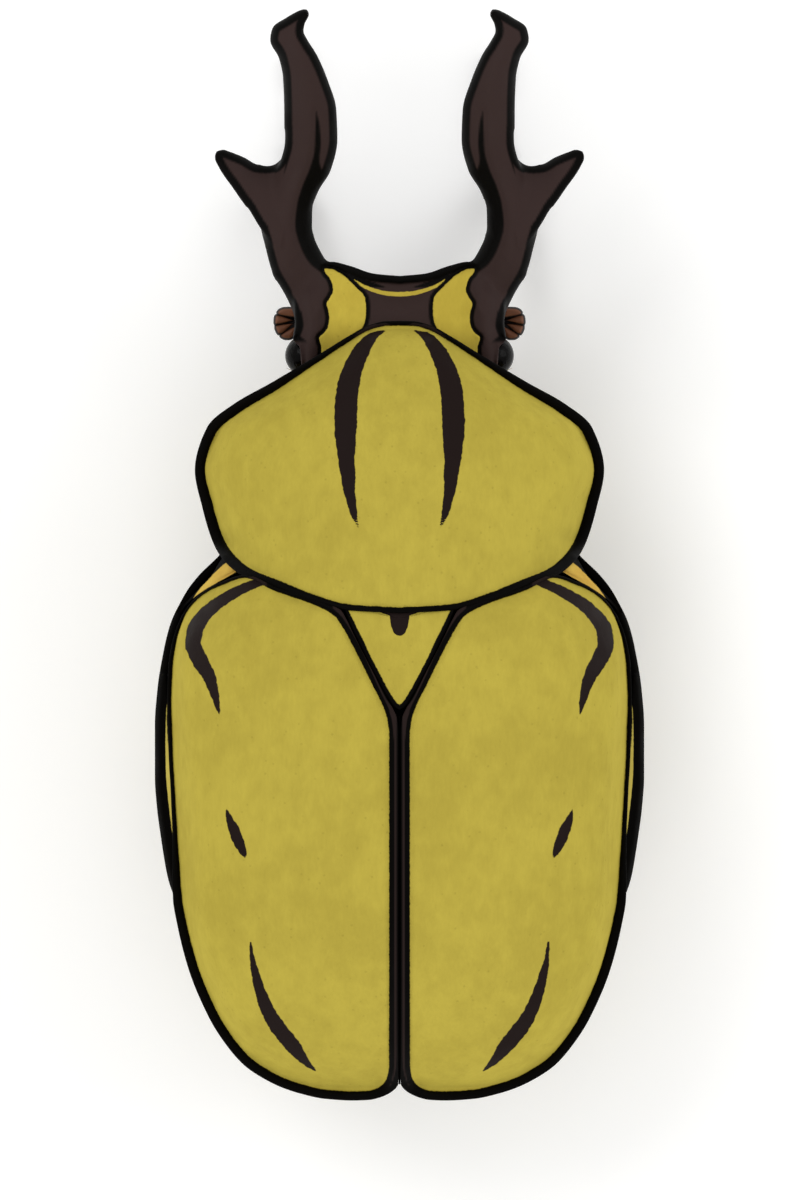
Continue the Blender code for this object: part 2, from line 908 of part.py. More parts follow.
def make_tarsus(name, leg):
    """Five lapping foot joints that lie on the floor, and a pair of curved claws."""
    ankle, knee = Vector(leg["ankle"]), Vector(leg["knee"])
    run = ankle - knee
    points = [Vector((*spot, SOLE)) for spot in leg["foot"]]
    foot_way = points[0] - ankle
    start = ankle - foot_way.normalized() * 0.3
    line = chain([start, *points])
    stations = []
    knots = []
    for begin, end in zip(FOOT_JOINTS, FOOT_JOINTS[1:]):
        for share, girth in ((begin + 0.015, JOINT_WAIST), (end - 0.015, JOINT_END)):
            stations.append(share)
            knots.append((share, girth))
    girth = smooth(knots)
    mesh = shaft(line, girth, girth, 8, len(stations) - 1, stations, floor=0.0)
    mesh = cut_at_joint(mesh, ankle, run, foot_way, False)
    body = add(name, mesh, "cuticle")
    tip, before = line(1.0), line(0.9)
    ahead = (tip - before).normalized()
    across = Vector((-ahead.y, ahead.x, 0))
    taper = smooth([(0, 0.2), (0.5, 0.15), (1, 0.05)])
    claws = []
    for side in (1, -1):
        root = tip - ahead * 0.3
        bend = tip + ahead * 0.15 + across * (side * 0.3) + Vector((0, 0, 0.12))
        end = tip + ahead * 0.5 + across * (side * 0.38) - Vector((0, 0, 0.16))
        claw = shaft(chain([root, bend, end]), taper, taper, 5, 4, floor=0.0)
        claws.append(add("claw", claw, "cuticle"))
    fuse(body, claws)


def make_legs():
    for place, leg in LEGS.items():
        for part, make in (("femur", make_femur), ("tibia", make_tibia), ("tarsus", make_tarsus)):
            name = f"{part}_{place}_left"
            make(name, leg)
            mirror(bpy.data.objects[name])


make_head()
make_eyes()
make_antennae()
make_mouthparts()
make_horns()
make_pronotum()
make_scutellum()
make_wing_cases()
make_shoulder_plates()
make_prosternum()
make_metathorax()
make_abdomen()
make_legs()
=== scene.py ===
# Looks of a male antler-horned flower beetle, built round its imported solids.

import math

import bmesh
import bpy
import numpy as np
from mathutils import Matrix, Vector


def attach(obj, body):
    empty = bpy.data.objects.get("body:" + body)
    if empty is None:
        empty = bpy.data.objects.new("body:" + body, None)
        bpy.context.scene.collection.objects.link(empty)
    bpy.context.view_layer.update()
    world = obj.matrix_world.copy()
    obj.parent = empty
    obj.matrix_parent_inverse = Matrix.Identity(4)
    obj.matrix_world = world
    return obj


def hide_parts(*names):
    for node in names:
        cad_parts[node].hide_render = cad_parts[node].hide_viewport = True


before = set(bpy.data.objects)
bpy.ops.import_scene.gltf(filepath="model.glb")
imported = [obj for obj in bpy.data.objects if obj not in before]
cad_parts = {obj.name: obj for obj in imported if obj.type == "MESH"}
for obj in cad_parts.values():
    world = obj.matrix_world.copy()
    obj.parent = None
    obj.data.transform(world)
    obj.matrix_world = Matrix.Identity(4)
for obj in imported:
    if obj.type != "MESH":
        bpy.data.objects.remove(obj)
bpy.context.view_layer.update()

# The studio: a pale floor under soft light from all round, and a long lens straight above the
# back. The picture's up is the beetle's front, so the camera is turned half way round.
MM = 0.001
PIXEL = 0.029233 * MM
PICTURE_WIDTH, PICTURE_HEIGHT = 800, 1200
MIDLINE_COLUMN = 399.5
ORIGIN_ROW = 555
LENS = 600
SENSOR = 36
LEVEL = 8 * MM  # height over the floor at which the picture's scale holds


def feed(tree, made, inputs):
    """Fills a shader node's inputs; each is a value or the socket that feeds it."""
    for key, value in inputs.items():
        if isinstance(value, bpy.types.NodeSocket):
            tree.links.new(value, made.inputs[key])
        else:
            made.inputs[key].default_value = value


def node(tree, kind, inputs=None, **settings):
    """Adds a shader node with its settings and inputs."""
    made = tree.nodes.new("ShaderNode" + kind)
    for key, value in settings.items():
        setattr(made, key, value)
    feed(tree, made, inputs or {})
    return made


def material(name):
    """A new material with its tree and its Principled shader."""
    made = bpy.data.materials.new(name)
    made.use_nodes = True
    return made, made.node_tree, made.node_tree.nodes["Principled BSDF"]


def put(name, data):
    """An object with this data, linked to the scene."""
    made = bpy.data.objects.new(name, data)
    bpy.context.scene.collection.objects.link(made)
    return made


camera_data = bpy.data.cameras.new("camera")
camera_data.lens = LENS
camera_data.sensor_width = SENSOR
camera_data.clip_start = 0.01
camera_data.clip_end = 10
camera = put("camera", camera_data)
camera.location = (
    (MIDLINE_COLUMN - PICTURE_WIDTH / 2) * PIXEL,
    (PICTURE_HEIGHT / 2 - ORIGIN_ROW) * PIXEL,
    LEVEL + PICTURE_HEIGHT * PIXEL * LENS / SENSOR,
)
camera.rotation_euler = (0, 0, math.pi)
bpy.context.scene.camera = camera
bpy.context.scene.view_settings.view_transform = "Standard"


def softbox(name, place, size, power):
    """A square soft light aimed at the beetle."""
    data = bpy.data.lights.new(name, "AREA")
    data.shape = "SQUARE"
    data.size = size
    data.energy = power
    light = put(name, data)
    light.location = place
    light.rotation_euler = (-Vector(place)).to_track_quat("-Z", "Y").to_euler()


softbox("key", (0.26, -0.24, 0.42), 0.26, 0.7)
softbox("fill", (-0.42, -0.12, 0.30), 0.32, 0.62)
softbox("back", (0.10, 0.46, 0.32), 0.30, 0.75)

world = bpy.data.worlds.new("studio")
world.use_nodes = True
bpy.context.scene.world = world
air = world.node_tree
air.nodes.clear()
glow = node(air, "Background", {"Color": (1, 1, 1, 1), "Strength": 0.68})
backdrop = node(air, "Background", {"Color": (1, 1, 1, 1), "Strength": 0.93})
seen = node(air, "LightPath")
views = {0: seen.outputs["Is Camera Ray"], 1: glow.outputs[0], 2: backdrop.outputs[0]}
choice = node(air, "MixShader", views)
node(air, "OutputWorld", {0: choice.outputs[0]})

floor_look, floor_tree, floor_shader = material("pale_floor")
floor_inputs = {"Base Color": (0.96, 0.96, 0.955, 1), "Roughness": 0.85}
floor_inputs.update({"Emission Color": (1, 1, 1, 1), "Emission Strength": 0.14})
feed(floor_tree, floor_shader, floor_inputs)
floor_mesh = bmesh.new()
bmesh.ops.create_grid(floor_mesh, x_segments=2, y_segments=2, size=3)
floor_data = bpy.data.meshes.new("floor")
floor_mesh.to_mesh(floor_data)
floor_mesh.free()
floor_data.materials.append(floor_look)
floor = put("floor", floor_data)


# Pronotum: the domed shield behind the head, one hard plate inside a raised bead. A close yellow
# down of flat scales covers it and leaves a pair of curved stripes bare. Sizes are in millimetres
# here and in all that follows, and a piece becomes metres when it is put in the scene.
EDGE = 6.4  # height of the side edges of the plates over the floor
REAR = 15.85  # rear ends of the wing cases
TURN_SHARE = 0.012  # share of an outline over which its direction is taken
CREST_REACH = 0.5  # how far in from a bead the face takes on the height of the edge
DIP_REACH = 0.12  # how wide the dip beside a bead is
ROLL_REACH = 0.45  # how wide the roll towards an edge is
PLATE_DEPTH = 0.4  # how far a plate reaches below the edge height
NO_MARK = 9  # distance that stands for no mark near
MIRROR = (-1, 1, 1)


def smooth(knots):
    """Cubic through (station, value) knots that never overshoots them; level past both ends."""
    stations = [knot[0] for knot in knots]
    values = [knot[1] for knot in knots]
    spans = [b - a for a, b in zip(stations, stations[1:])]
    rises = [(b - a) / span for a, b, span in zip(values, values[1:], spans)]
    slopes = [rises[0]]
    for before, after in zip(rises, rises[1:]):
        turns = before * after <= 0
        slopes.append(0.0 if turns else 2 * before * after / (before + after))
    slopes.append(rises[-1])

    def value(station):
        if station <= stations[0]:
            return values[0]
        if station >= stations[-1]:
            return values[-1]
        i = next(k for k, end in enumerate(stations[1:]) if station <= end)
        t = (station - stations[i]) / spans[i]
        rest = 1 - t
        return (
            values[i] * (1 + 2 * t) * rest * rest
            + values[i + 1] * t * t * (3 - 2 * t)
            + spans[i] * t * rest * (slopes[i] * rest - slopes[i + 1] * t)
        )

    return value


def chain(points):
    """Smooth curve through points, read by the share of its length from 0 to 1."""
    shares = [0.0]
    for a, b in zip(points, points[1:]):
        shares.append(shares[-1] + max((Vector(b) - Vector(a)).length, 1e-6))
    whole = shares[-1]
    axes = [smooth([(s / whole, v) for s, v in zip(shares, axis)]) for axis in zip(*points)]
    return lambda share: Vector([axis(share) for axis in axes])


def both_sides(half):
    """Closed outline from its left half, which runs from the front of the midline to the rear."""

    def outline(share):
        point = half(2 * share if share <= 0.5 else 2 - 2 * share)
        if share > 0.5:
            point.x = -point.x
        return point

    return outline


def dome(share, roundness, power):
    """1 on the midline and 0 at the edge; share is the distance out as part of the half width."""
    return (1 - min(abs(share), 1) ** roundness) ** power


def swelling(x, y, place, reach):
    """1 at a place and falling off round it, on both sides of the midline."""
    across = (abs(x) - place[0]) / reach[0]
    along = (y - place[1]) / reach[1]
    return math.exp(-(across * across + along * along))


def bell(away, width):
    """1 at no distance and falling off smoothly within a width or two."""
    return math.exp(-((away / width) ** 2))


def ramp(value, low, high):
    """0 below low, 1 above high, and even between them."""
    return np.clip((value - low) / (high - low), 0, 1)


def ring_place(i, j):
    """Number of the square ring that a grid point is on, and its share of the way round it."""
    ring = max(abs(i), abs(j))
    if ring == 0:
        return 0, 0.0
    if i == ring and j > -ring:
        steps = j + ring
    elif j == ring:
        steps = 3 * ring - i
    elif i == -ring:
        steps = 5 * ring - j
    else:
        steps = 7 * ring + i
    return ring, steps / (8 * ring)


def margins(outline):
    """The edge and the inner line of the margin of an outline of (x, y, margin) points."""
    corners = [outline(step / 40) for step in range(41)]
    turning = sum(a.x * b.y - b.x * a.y for a, b in zip(corners, corners[1:]))
    known = {}

    def edges(share):
        if share not in known:
            at = outline(share)
            run = outline((share + TURN_SHARE) % 1) - outline((share - TURN_SHARE) % 1)
            along = run.xy.normalized()
            inward = Vector((-along.y, along.x)) * math.copysign(at.z, turning)
            known[share] = (at.xy, at.xy + inward)
        return known[share]

    return edges


def inset(outline):
    """The line where the margin of an outline meets the coat."""
    edges = margins(outline)
    return lambda share: edges(share)[1]


def plate(outline, hub, top, bottom, rings, bead=0.07, dip=0.03, roll=0.0, wall=3, back=5, rim=6):
    """Closed plate over an outline of (x, y, margin) points that all shows from its hub.

    Rings of the grid run out over the domed face to the margin, over the round bead in the margin,
    down the wall and back under the plate. The face dips beside the bead by dip, and it drops by
    roll(x, y) towards the edge.
    """
    count = rings + rim + wall + back
    mesh = bmesh.new()
    bmesh.ops.create_grid(mesh, x_segments=2 * count, y_segments=2 * count, size=count)
    centre = Vector(hub)
    edges = margins(outline)
    for vertex in mesh.verts:
        ring, share = ring_place(round(vertex.co.x), round(vertex.co.y))
        outer, inner = edges(share)
        drop = roll(outer.x, outer.y) if roll else 0.0
        if ring <= rings:  # rings lie closer together near the margin
            reach = 0.6 * math.sin(math.pi / 2 * ring / rings) + 0.4 * ring / rings
            point = centre + (inner - centre) * reach
            away = (inner - point).length
            level = point + (outer - inner) * bell(away, CREST_REACH)
            height = top(level.x, level.y) - dip * bell(away, DIP_REACH)
            height -= drop * bell(away, ROLL_REACH)
        elif ring <= rings + rim:
            part = (ring - rings) / rim
            point = inner.lerp(outer, (1 - math.cos(math.pi * part)) / 2)
            height = top(outer.x, outer.y) - drop
            height += bead * math.sin(math.pi * part) - dip * (1 - part)
        elif ring <= rings + rim + wall:
            part = (ring - rings - rim) / wall
            point = outer
            height = top(outer.x, outer.y) - drop
            height += (bottom(outer.x, outer.y) - height) * part
        else:
            part = (ring - rings - rim - wall) / back
            point = outer.lerp(centre, 0.9 * part)
            height = bottom(point.x, point.y)
        vertex.co = (point.x, point.y, height)
    bmesh.ops.holes_fill(mesh, edges=mesh.edges)
    bmesh.ops.recalc_face_normals(mesh, faces=mesh.faces)
    return mesh


def spots(mesh):
    """Where the vertices lie, as an array of millimetres."""
    return np.array([vertex.co for vertex in mesh.verts])


def paint(mesh, **values):
    """Gives each vertex named numbers that the materials read."""
    for name, numbers in values.items():
        layer = mesh.verts.layers.float.new(name)
        for vertex, number in zip(mesh.verts, np.broadcast_to(numbers, len(mesh.verts))):
            vertex[layer] = float(number)


def from_segment(plan, start, end):
    """Distance of points from a segment, and the share of it at which each is nearest."""
    run = end - start
    share = np.clip(((plan - start) @ run) / max(run @ run, 1e-12), 0, 1)
    away = plan - start - share[:, None] * run
    return np.hypot(away[:, 0], away[:, 1]), share


def from_strokes(points, strokes):
    """Distance in plan from strokes of (x, y, half width) points on either side, negative inside."""
    best = np.full(len(points), float(NO_MARK))
    spot = np.column_stack([np.abs(points[:, 0]), points[:, 1]])
    for stroke in strokes:
        line = chain(stroke)
        stops = [np.array(line(step / 80)) for step in range(81)]
        for a, b in zip(stops, stops[1:]):
            away, share = from_segment(spot, a[:2], b[:2])
            best = np.minimum(best, away - (a[2] + share * (b[2] - a[2])))
    return best


def from_region(points, outline, steps=160):
    """Distance in plan from a closed outline, negative inside."""
    ring = [np.array(outline(step / steps)[:2]) for step in range(steps)]
    inside = np.zeros(len(points), bool)
    best = np.full(len(points), float(NO_MARK))
    spot = points[:, :2]
    for a, b in zip(ring, ring[1:] + ring[:1]):
        run = b - a
        best = np.minimum(best, from_segment(spot, a, b)[0])
        crossing = a[0] + (spot[:, 1] - a[1]) * run[0] / (run[1] if run[1] else 1e-12)
        inside ^= ((a[1] > spot[:, 1]) != (b[1] > spot[:, 1])) & (spot[:, 0] < crossing)
    return np.where(inside, -best, best)


def sink(mesh, marks, depth):
    """Lowers the bare marks a little, because the coat round them has a thickness."""
    for vertex, mark in zip(mesh.verts, marks):
        share = min(max(0.5 - mark / 0.12, 0), 1)
        vertex.co.z -= depth * share * share * (3 - 2 * share)


def piece(name, mesh, look, slot, *nodes):
    """Puts a finished mesh in the scene in metres, and ties it to the frame."""
    bmesh.ops.scale(mesh, vec=(MM, MM, MM), verts=mesh.verts)
    data = bpy.data.meshes.new(name)
    mesh.to_mesh(data)
    mesh.free()
    data.materials.append(look)
    data.shade_smooth()
    made = put(name, data)
    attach(made, "root")
    if nodes:
        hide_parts(*nodes)


def uncoated(mesh, tone):
    """Leaves a whole mesh bare of the coat, in one tone of the shell."""
    paint(mesh, mark=NO_MARK, rim=-1, tone=tone)
    return mesh


def turned_over(mesh, vec):
    """Mirrors a mesh and keeps its faces outward."""
    bmesh.ops.scale(mesh, vec=vec, verts=mesh.verts)
    bmesh.ops.reverse_faces(mesh, faces=mesh.faces)
    return mesh


def pair(name, mesh, look, slot, *nodes):
    """A left piece and its mirror image, each with its own side's nodes."""
    twin = turned_over(mesh.copy(), MIRROR)
    piece(name + "_left", mesh, look, slot, *[n + "_left" for n in nodes])
    piece(name + "_right", twin, look, slot, *[n + "_right" for n in nodes])


def group(name, inputs, outputs):
    """A shader node group with float inputs, and its tree and ends."""
    tree = bpy.data.node_groups.new(name, "ShaderNodeTree")
    for label, value in inputs.items():
        socket = tree.interface.new_socket(label, in_out="INPUT", socket_type="NodeSocketFloat")
        socket.default_value = value
    for label in outputs:
        tree.interface.new_socket(label, in_out="OUTPUT", socket_type="NodeSocketFloat")
    return tree, tree.nodes.new("NodeGroupInput").outputs, tree.nodes.new("NodeGroupOutput")


def place_group(tree, name, inputs=None):
    """Sets a shader node group in a material."""
    made = tree.nodes.new("ShaderNodeGroup")
    made.node_tree = bpy.data.node_groups[name]
    feed(tree, made, inputs or {})
    return made.outputs


def sums(tree, operation, first, second, third=0.0):
    """One step of arithmetic on values or sockets."""
    return node(tree, "Math", {0: first, 1: second, 2: third}, operation=operation).outputs[0]


def plus(tree, first, second):
    return sums(tree, "ADD", first, second)


def times(tree, first, second):
    return sums(tree, "MULTIPLY", first, second)


def step_up(tree, value, low, high, start=0.0, end=1.0):
    """Smooth step from start to end while a value goes from low to high."""
    inputs = {"Value": value, "From Min": low, "From Max": high, "To Min": start, "To Max": end}
    return node(tree, "MapRange", inputs, interpolation_type="SMOOTHSTEP").outputs[0]


def mix(tree, share, first, second):
    """Colour between two colours."""
    return node(tree, "Mix", {0: share, 6: first, 7: second}, data_type="RGBA").outputs[2]


def rgb(red, green, blue):
    """Linear colour from the 0 to 255 values of a screen."""
    screen = (red, green, blue)
    return (*[((c / 255 + 0.055) / 1.055) ** 2.4 if c > 10 else c / 3295 for c in screen], 1)


def darker(colour, share):
    """A colour with only a share of its light."""
    return [c * share for c in colour[:3]] + [1]


def texture(tree, kind, scale, stretch=(1, 1, 1), **settings):
    """A texture on the object's own coordinates; scale counts repeats to a millimetre."""
    spot = node(tree, "TexCoord").outputs["Object"]
    factors = [scale / MM * s for s in stretch]
    laid = node(tree, "Mapping", {"Vector": spot, "Scale": factors}).outputs[0]
    inputs = {"Vector": laid, "Scale": 1.0}
    inputs.update(settings.pop("inputs", {}))
    return node(tree, kind, inputs, **settings).outputs


# Down that covers the plates: how it is mottled, how its nap lies, and where it is worn through
down, _, down_end = group("down", {}, ["Mottle", "Nap", "Pits"])
broad = texture(down, "TexNoise", 0.35, inputs={"Detail": 3.0})["Fac"]
close = texture(down, "TexNoise", 2.2, (1, 0.7, 1), inputs={"Detail": 4.0})["Fac"]
blend = plus(down, times(down, broad, 0.55), times(down, close, 0.45))
nap = texture(down, "TexNoise", 11.0, (1, 0.3, 1), inputs={"Detail": 3.0, "Roughness": 0.6})["Fac"]
cells = texture(down, "TexVoronoi", 3.1, inputs={"Randomness": 1.0})
pits = step_up(down, cells["Distance"], 0.03, 0.16, 1.0, 0.0)
mottle = step_up(down, blend, 0.34, 0.66)
feed(down, down_end, {"Mottle": mottle, "Nap": nap, "Pits": pits})

# Bare shell: fine wrinkles and pricked points
bare, _, bare_end = group("bare_shell", {}, ["Relief", "Cloud"])
wrinkle = texture(bare, "TexNoise", 7.0, (1, 0.5, 1), inputs={"Detail": 4.0})["Fac"]
pricks = texture(bare, "TexVoronoi", 5.5)["Distance"]
pricked = step_up(bare, pricks, 0.05, 0.28)
relief = plus(bare, times(bare, wrinkle, 0.5), times(bare, pricked, 0.5))
cloud = texture(bare, "TexNoise", 0.9, inputs={"Detail": 3.0})["Fac"]
feed(bare, bare_end, {"Relief": relief, "Cloud": step_up(bare, cloud, 0.3, 0.7)})

# Ragged border of the coat, scalloped by the ends of its scales
border, border_in, border_end = group("coat_border", {"Distance": 0.0, "Scallop": 0.05}, ["Mask"])
cells = texture(border, "TexVoronoi", 5.2, feature="SMOOTH_F1", inputs={"Smoothness": 0.3})
fringe = texture(border, "TexNoise", 14.0, inputs={"Detail": 2.0})["Fac"]
scales = sums(border, "SUBTRACT", cells["Distance"], 0.45)
ragged = times(border, scales, border_in["Scallop"])
frayed = times(border, sums(border, "SUBTRACT", fringe, 0.5), 0.03)
edge_sum = plus(border, plus(border, border_in["Distance"], ragged), frayed)
feed(border, border_end, {"Mask": step_up(border, edge_sum, -0.012, 0.012)})

BROWN_SHELL = rgb(55, 42, 40)
BLACK_SHELL = rgb(5, 4, 3)


def coated(name, coat, worn, shine=0.03, shell=BROWN_SHELL):
    """Velvety coat over a dark shell, which shows in the marks and the margins."""
    made, tree, shader = material(name)
    values = {
        label: node(tree, "Attribute", attribute_name=label).outputs["Fac"]
        for label in ("mark", "rim", "tone")
    }
    marks = place_group(tree, "coat_border", {"Distance": values["mark"], "Scallop": 0.035})["Mask"]
    margin = place_group(tree, "coat_border", {"Distance": values["rim"], "Scallop": 0.012})["Mask"]
    mask = times(tree, marks, margin)
    grain = place_group(tree, "down")
    under = place_group(tree, "bare_shell")
    coat_colour = mix(tree, grain["Mottle"], worn, coat)
    thin = times(tree, grain["Pits"], 0.22)
    coat_colour = mix(tree, thin, coat_colour, darker(worn, 0.45))
    nap_shade = step_up(tree, grain["Nap"], 0.25, 0.75, 0.1, 0.0)
    coat_colour = mix(tree, nap_shade, coat_colour, darker(worn, 0.5))
    shell_colour = mix(tree, values["tone"], BLACK_SHELL, shell)
    gloss = step_up(tree, under["Cloud"], 0, 1, 0.5, 0.62)
    rough = node(tree, "Mix", {0: mask, 2: gloss, 3: 0.93}).outputs[0]
    coat_relief = sums(tree, "MULTIPLY_ADD", grain["Nap"], 0.5, 0.9)
    coat_relief = sums(tree, "SUBTRACT", coat_relief, times(tree, grain["Pits"], 0.35))
    shell_relief = times(tree, under["Relief"], 0.35)
    height = node(tree, "Mix", {0: mask, 2: shell_relief, 3: coat_relief}).outputs[0]
    bump = node(tree, "Bump", {"Height": height, "Strength": 0.55, "Distance": 0.03 * MM})
    colour = mix(tree, mask, shell_colour, coat_colour)
    feed(tree, shader, {"Base Color": colour, "Roughness": rough, "Normal": bump.outputs[0]})
    feed(tree, shader, {"Specular IOR Level": shine})
    return made


MARK_TONE = 0.35  # how brown the bare marks are
BEAD_TONE = 0.5  # how brown the beads along the seam are
yellow_down = coated("yellow_down", rgb(188, 171, 70), rgb(176, 159, 64))

edge_height = smooth([
    (-6.75, 7.75), (-5.9, 7.35), (-4.6, 6.75), (-3.3, EDGE + 0.05), (-2, EDGE), (REAR - 3, EDGE),
    (REAR, EDGE - 0.1),
])
shield_crown = smooth([
    (-6.75, 7.75), (-6.3, 8.45), (-5.2, 9.2), (-4.2, 9.63), (-3.2, 9.97), (-2.1, 10.24), (-1, 10.4),
    (0.3, 10.49), (1.6, 10.5),
])
shield_half = smooth([
    (-6.86, 0.05), (-6.6, 1.2), (-5.52, 3.2), (-4.6, 4.66), (-3.8, 5.55), (-2.5, 6.0), (-1.2, 5.78),
    (-0.25, 5.5), (1.6, 5.65),
])
shield_outline = both_sides(chain([
    (0, -6.85, 0.14), (0.4, -6.84, 0.14), (0.9, -6.72, 0.14), (1.5, -6.4, 0.15), (2.35, -5.88, 0.18),
    (3.74, -5.06, 0.27), (4.87, -4.42, 0.31), (5.64, -3.75, 0.32), (6.0, -2.5, 0.3),
    (5.77, -1.35, 0.325), (5.54, -0.56, 0.33), (5.33, -0.1, 0.34), (4.97, 0.33, 0.33), (4.5, 0.66, 0.3),
    (3.58, 1.02, 0.28), (2.6, 1.37, 0.24), (1.49, 1.62, 0.18), (0, 1.7, 0.17),
]))
SHIELD_STRIPE = [
    (0.43, -6.56, 0.03), (0.62, -6.48, 0.08), (0.82, -6.35, 0.15), (1.02, -6.1, 0.215),
    (1.2, -5.8, 0.255), (1.43, -5.22, 0.3), (1.51, -4.81, 0.325), (1.55, -4.4, 0.333),
    (1.57, -4.0, 0.333), (1.575, -3.58, 0.32), (1.56, -3.15, 0.28), (1.55, -2.77, 0.24),
    (1.504, -2.36, 0.222), (1.47, -1.95, 0.176), (1.4, -1.54, 0.143), (1.31, -1.13, 0.088),
    (1.255, -0.96, 0.055), (1.21, -0.84, 0.035),
]


def plate_floor(x, y):
    return edge_height(y) - PLATE_DEPTH


def vault(x, y, crown, half, roundness, power):
    """Height of a plate that arches from its side edges to its crown on the midline."""
    rise = crown(y) - edge_height(y)
    return edge_height(y) + rise * dome(x / half(y), roundness, power)


def shield_top(x, y):
    height = vault(x, y, shield_crown, shield_half, 2.3, 0.62)
    height -= 0.05 * bell(x, 0.35) * (1 if y > -5 else 0.4)
    return height - 0.12 * swelling(x, y, (4.3, -1.2), (0.7, 0.9))


def shield_drop(x, y):
    """How far the side edges must come down to lie level with the other plates."""
    return (shield_top(x, y) - edge_height(y)) * ramp(y, 0.1, -0.8)


shield = plate(shield_outline, (0, -2.4), shield_top, plate_floor, 80, roll=shield_drop)
at = spots(shield)
stripes = from_strokes(at, [SHIELD_STRIPE])
sink(shield, stripes, 0.03)
margin = from_region(at, inset(shield_outline))
paint(shield, mark=stripes, rim=-margin, tone=MARK_TONE * (stripes < 0.2))
piece("pronotum_shield", shield, yellow_down, "yellow_down", "pronotum")


# Scutellum: the small triangular plate between the wing cases. It is coated like them, apart
# from a dark tongue at its front, and a thin dark bead runs round it.
case_crown = smooth([
    (0, 10.35), (1.9, 10.5), (4.4, 10.7), (8, 10.7), (10.5, 10.45), (12.5, 9.65), (14.2, 8.5),
    (REAR, 6.75),
])
case_half = smooth([
    (0.4, 5.6), (1.4, 6.22), (2.2, 6.55), (3.3, 6.86), (5, 6.9), (7, 6.8), (8.6, 6.75), (10, 6.68),
    (11.4, 6.4), (12.8, 5.96), (13.5, 5.66), (14.2, 5.25), (14.9, 4.75), (REAR, 4.45),
])


def case_top(x, y):
    height = vault(x, y, case_crown, case_half, 2.9, 0.55)
    height += 0.35 * swelling(x, y, (5.0, 3.2), (0.8, 1.3))
    return height + 0.24 * swelling(x, y, (3.9, 13.1), (1.0, 1.1))


scutellum_outline = both_sides(chain([
    (0, 1.5, 0.04), (1.63, 1.5, 0.07), (1.385, 2.14, 0.14), (1.18, 2.56, 0.145), (0.98, 2.98, 0.14),
    (0.66, 3.6, 0.14), (0.37, 4.13, 0.14), (0.16, 4.42, 0.14), (0, 4.52, 0.15),
]))
SCUTELLUM_TONGUE = [
    [(0, 1.62, 0.2), (0.3, 1.66, 0.1), (0.5, 1.66, 0.03)],
    [(0, 1.8, 0.285), (0, 2.0, 0.25), (0, 2.165, 0.19)],
]
scutellum = plate(
    scutellum_outline,
    (0, 1.85),
    lambda x, y: case_top(x, y) - 0.08,
    lambda x, y: case_top(x, y) - 1.2,
    64,
    bead=0.03,
    dip=0.01,
    rim=4,
)
at = spots(scutellum)
tongue = 2.5 * from_strokes(at, SCUTELLUM_TONGUE)
sink(scutellum, tongue, 0.02)
from_coat = from_region(at, inset(scutellum_outline))
margin = np.maximum(from_coat, from_region(at, scutellum_outline) + 0.05)
paint(scutellum, mark=tongue, rim=-margin, tone=MARK_TONE * (tongue < 0.2))
piece("scutellum_plate", scutellum, yellow_down, "yellow_down", "scutellum")


# Wing cases: a pair of hard covers that meet along the back and end in rounded tails. A bead
# edges each of them, brown along the seam, and the coat leaves three marks bare on each side.
case_outline = chain([
    (0.03, 9, 0.272), (0.03, 5.2, 0.272), (0.06, 4.8, 0.29), (0.18, 4.5, 0.25), (0.39, 4.13, 0.2),
    (0.665, 3.62, 0.188), (0.905, 3.16, 0.175), (1.14, 2.7, 0.172), (1.35, 2.28, 0.18),
    (1.56, 1.85, 0.22), (1.72, 1.6, 0.25), (2.1, 1.44, 0.18), (2.9, 1.18, 0.12), (3.6, 0.94, 0.12),
    (4.52, 0.58, 0.09), (5.22, 0.79, 0.1), (5.6, 0.97, 0.085), (5.96, 1.24, 0.075), (6.24, 1.55, 0.075),
    (6.44, 1.9, 0.09), (6.65, 2.5, 0.115), (6.78, 3.3, 0.13), (6.81, 4.3, 0.12), (6.79, 5.2, 0.13),
    (6.76, 6.07, 0.125), (6.715, 6.78, 0.125), (6.685, 7.49, 0.135), (6.655, 8.2, 0.145),
    (6.65, 8.9, 0.19), (6.66, 9.5, 0.24), (6.64, 10.1, 0.27), (6.54, 10.72, 0.28), (6.19, 12.12, 0.29),
    (5.6, 13.53, 0.29), (5.18, 14.22, 0.29), (4.56, 14.95, 0.29), (4.08, 15.29, 0.29),
    (3.47, 15.6, 0.28), (2.9, 15.79, 0.28), (2.2, 15.94, 0.27), (1.4, 15.99, 0.27), (0.9, 15.97, 0.27),
    (0.62, 15.91, 0.28), (0.39, 15.82, 0.31), (0.2, 15.7, 0.35), (0.09, 15.59, 0.38),
    (0.035, 15.48, 0.37), (0.03, 15.2, 0.31), (0.03, 14.9, 0.28), (0.03, 9, 0.272),
])
CASE_MARKS = [
    [
        (4.08, 0.79, 0.12), (4.2, 0.83, 0.13), (4.69, 1.045, 0.15), (5.34, 1.43, 0.185),
        (5.755, 1.82, 0.215), (5.975, 2.19, 0.245), (6.03, 2.573, 0.243), (5.845, 3.04, 0.24),
        (5.554, 3.537, 0.19), (5.358, 4.195, 0.11), (5.262, 4.62, 0.03),
    ],
    [
        (5.045, 7.42, 0.025), (4.934, 7.776, 0.115), (4.815, 8.024, 0.16), (4.718, 8.288, 0.165),
        (4.595, 8.56, 0.125), (4.5, 8.79, 0.045),
    ],
    [
        (4.343, 11.304, 0.03), (4.287, 11.84, 0.08), (4.195, 12.24, 0.125), (4.097, 12.61, 0.155),
        (3.955, 13.04, 0.185), (3.746, 13.5, 0.21), (3.475, 13.9, 0.228), (3.155, 14.3, 0.22),
        (2.865, 14.67, 0.155), (2.62, 14.95, 0.075), (2.447, 15.1, 0.02),
    ],
]
rib_strength = smooth([(1.5, 0), (4, 1), (11, 1), (14, 0)])


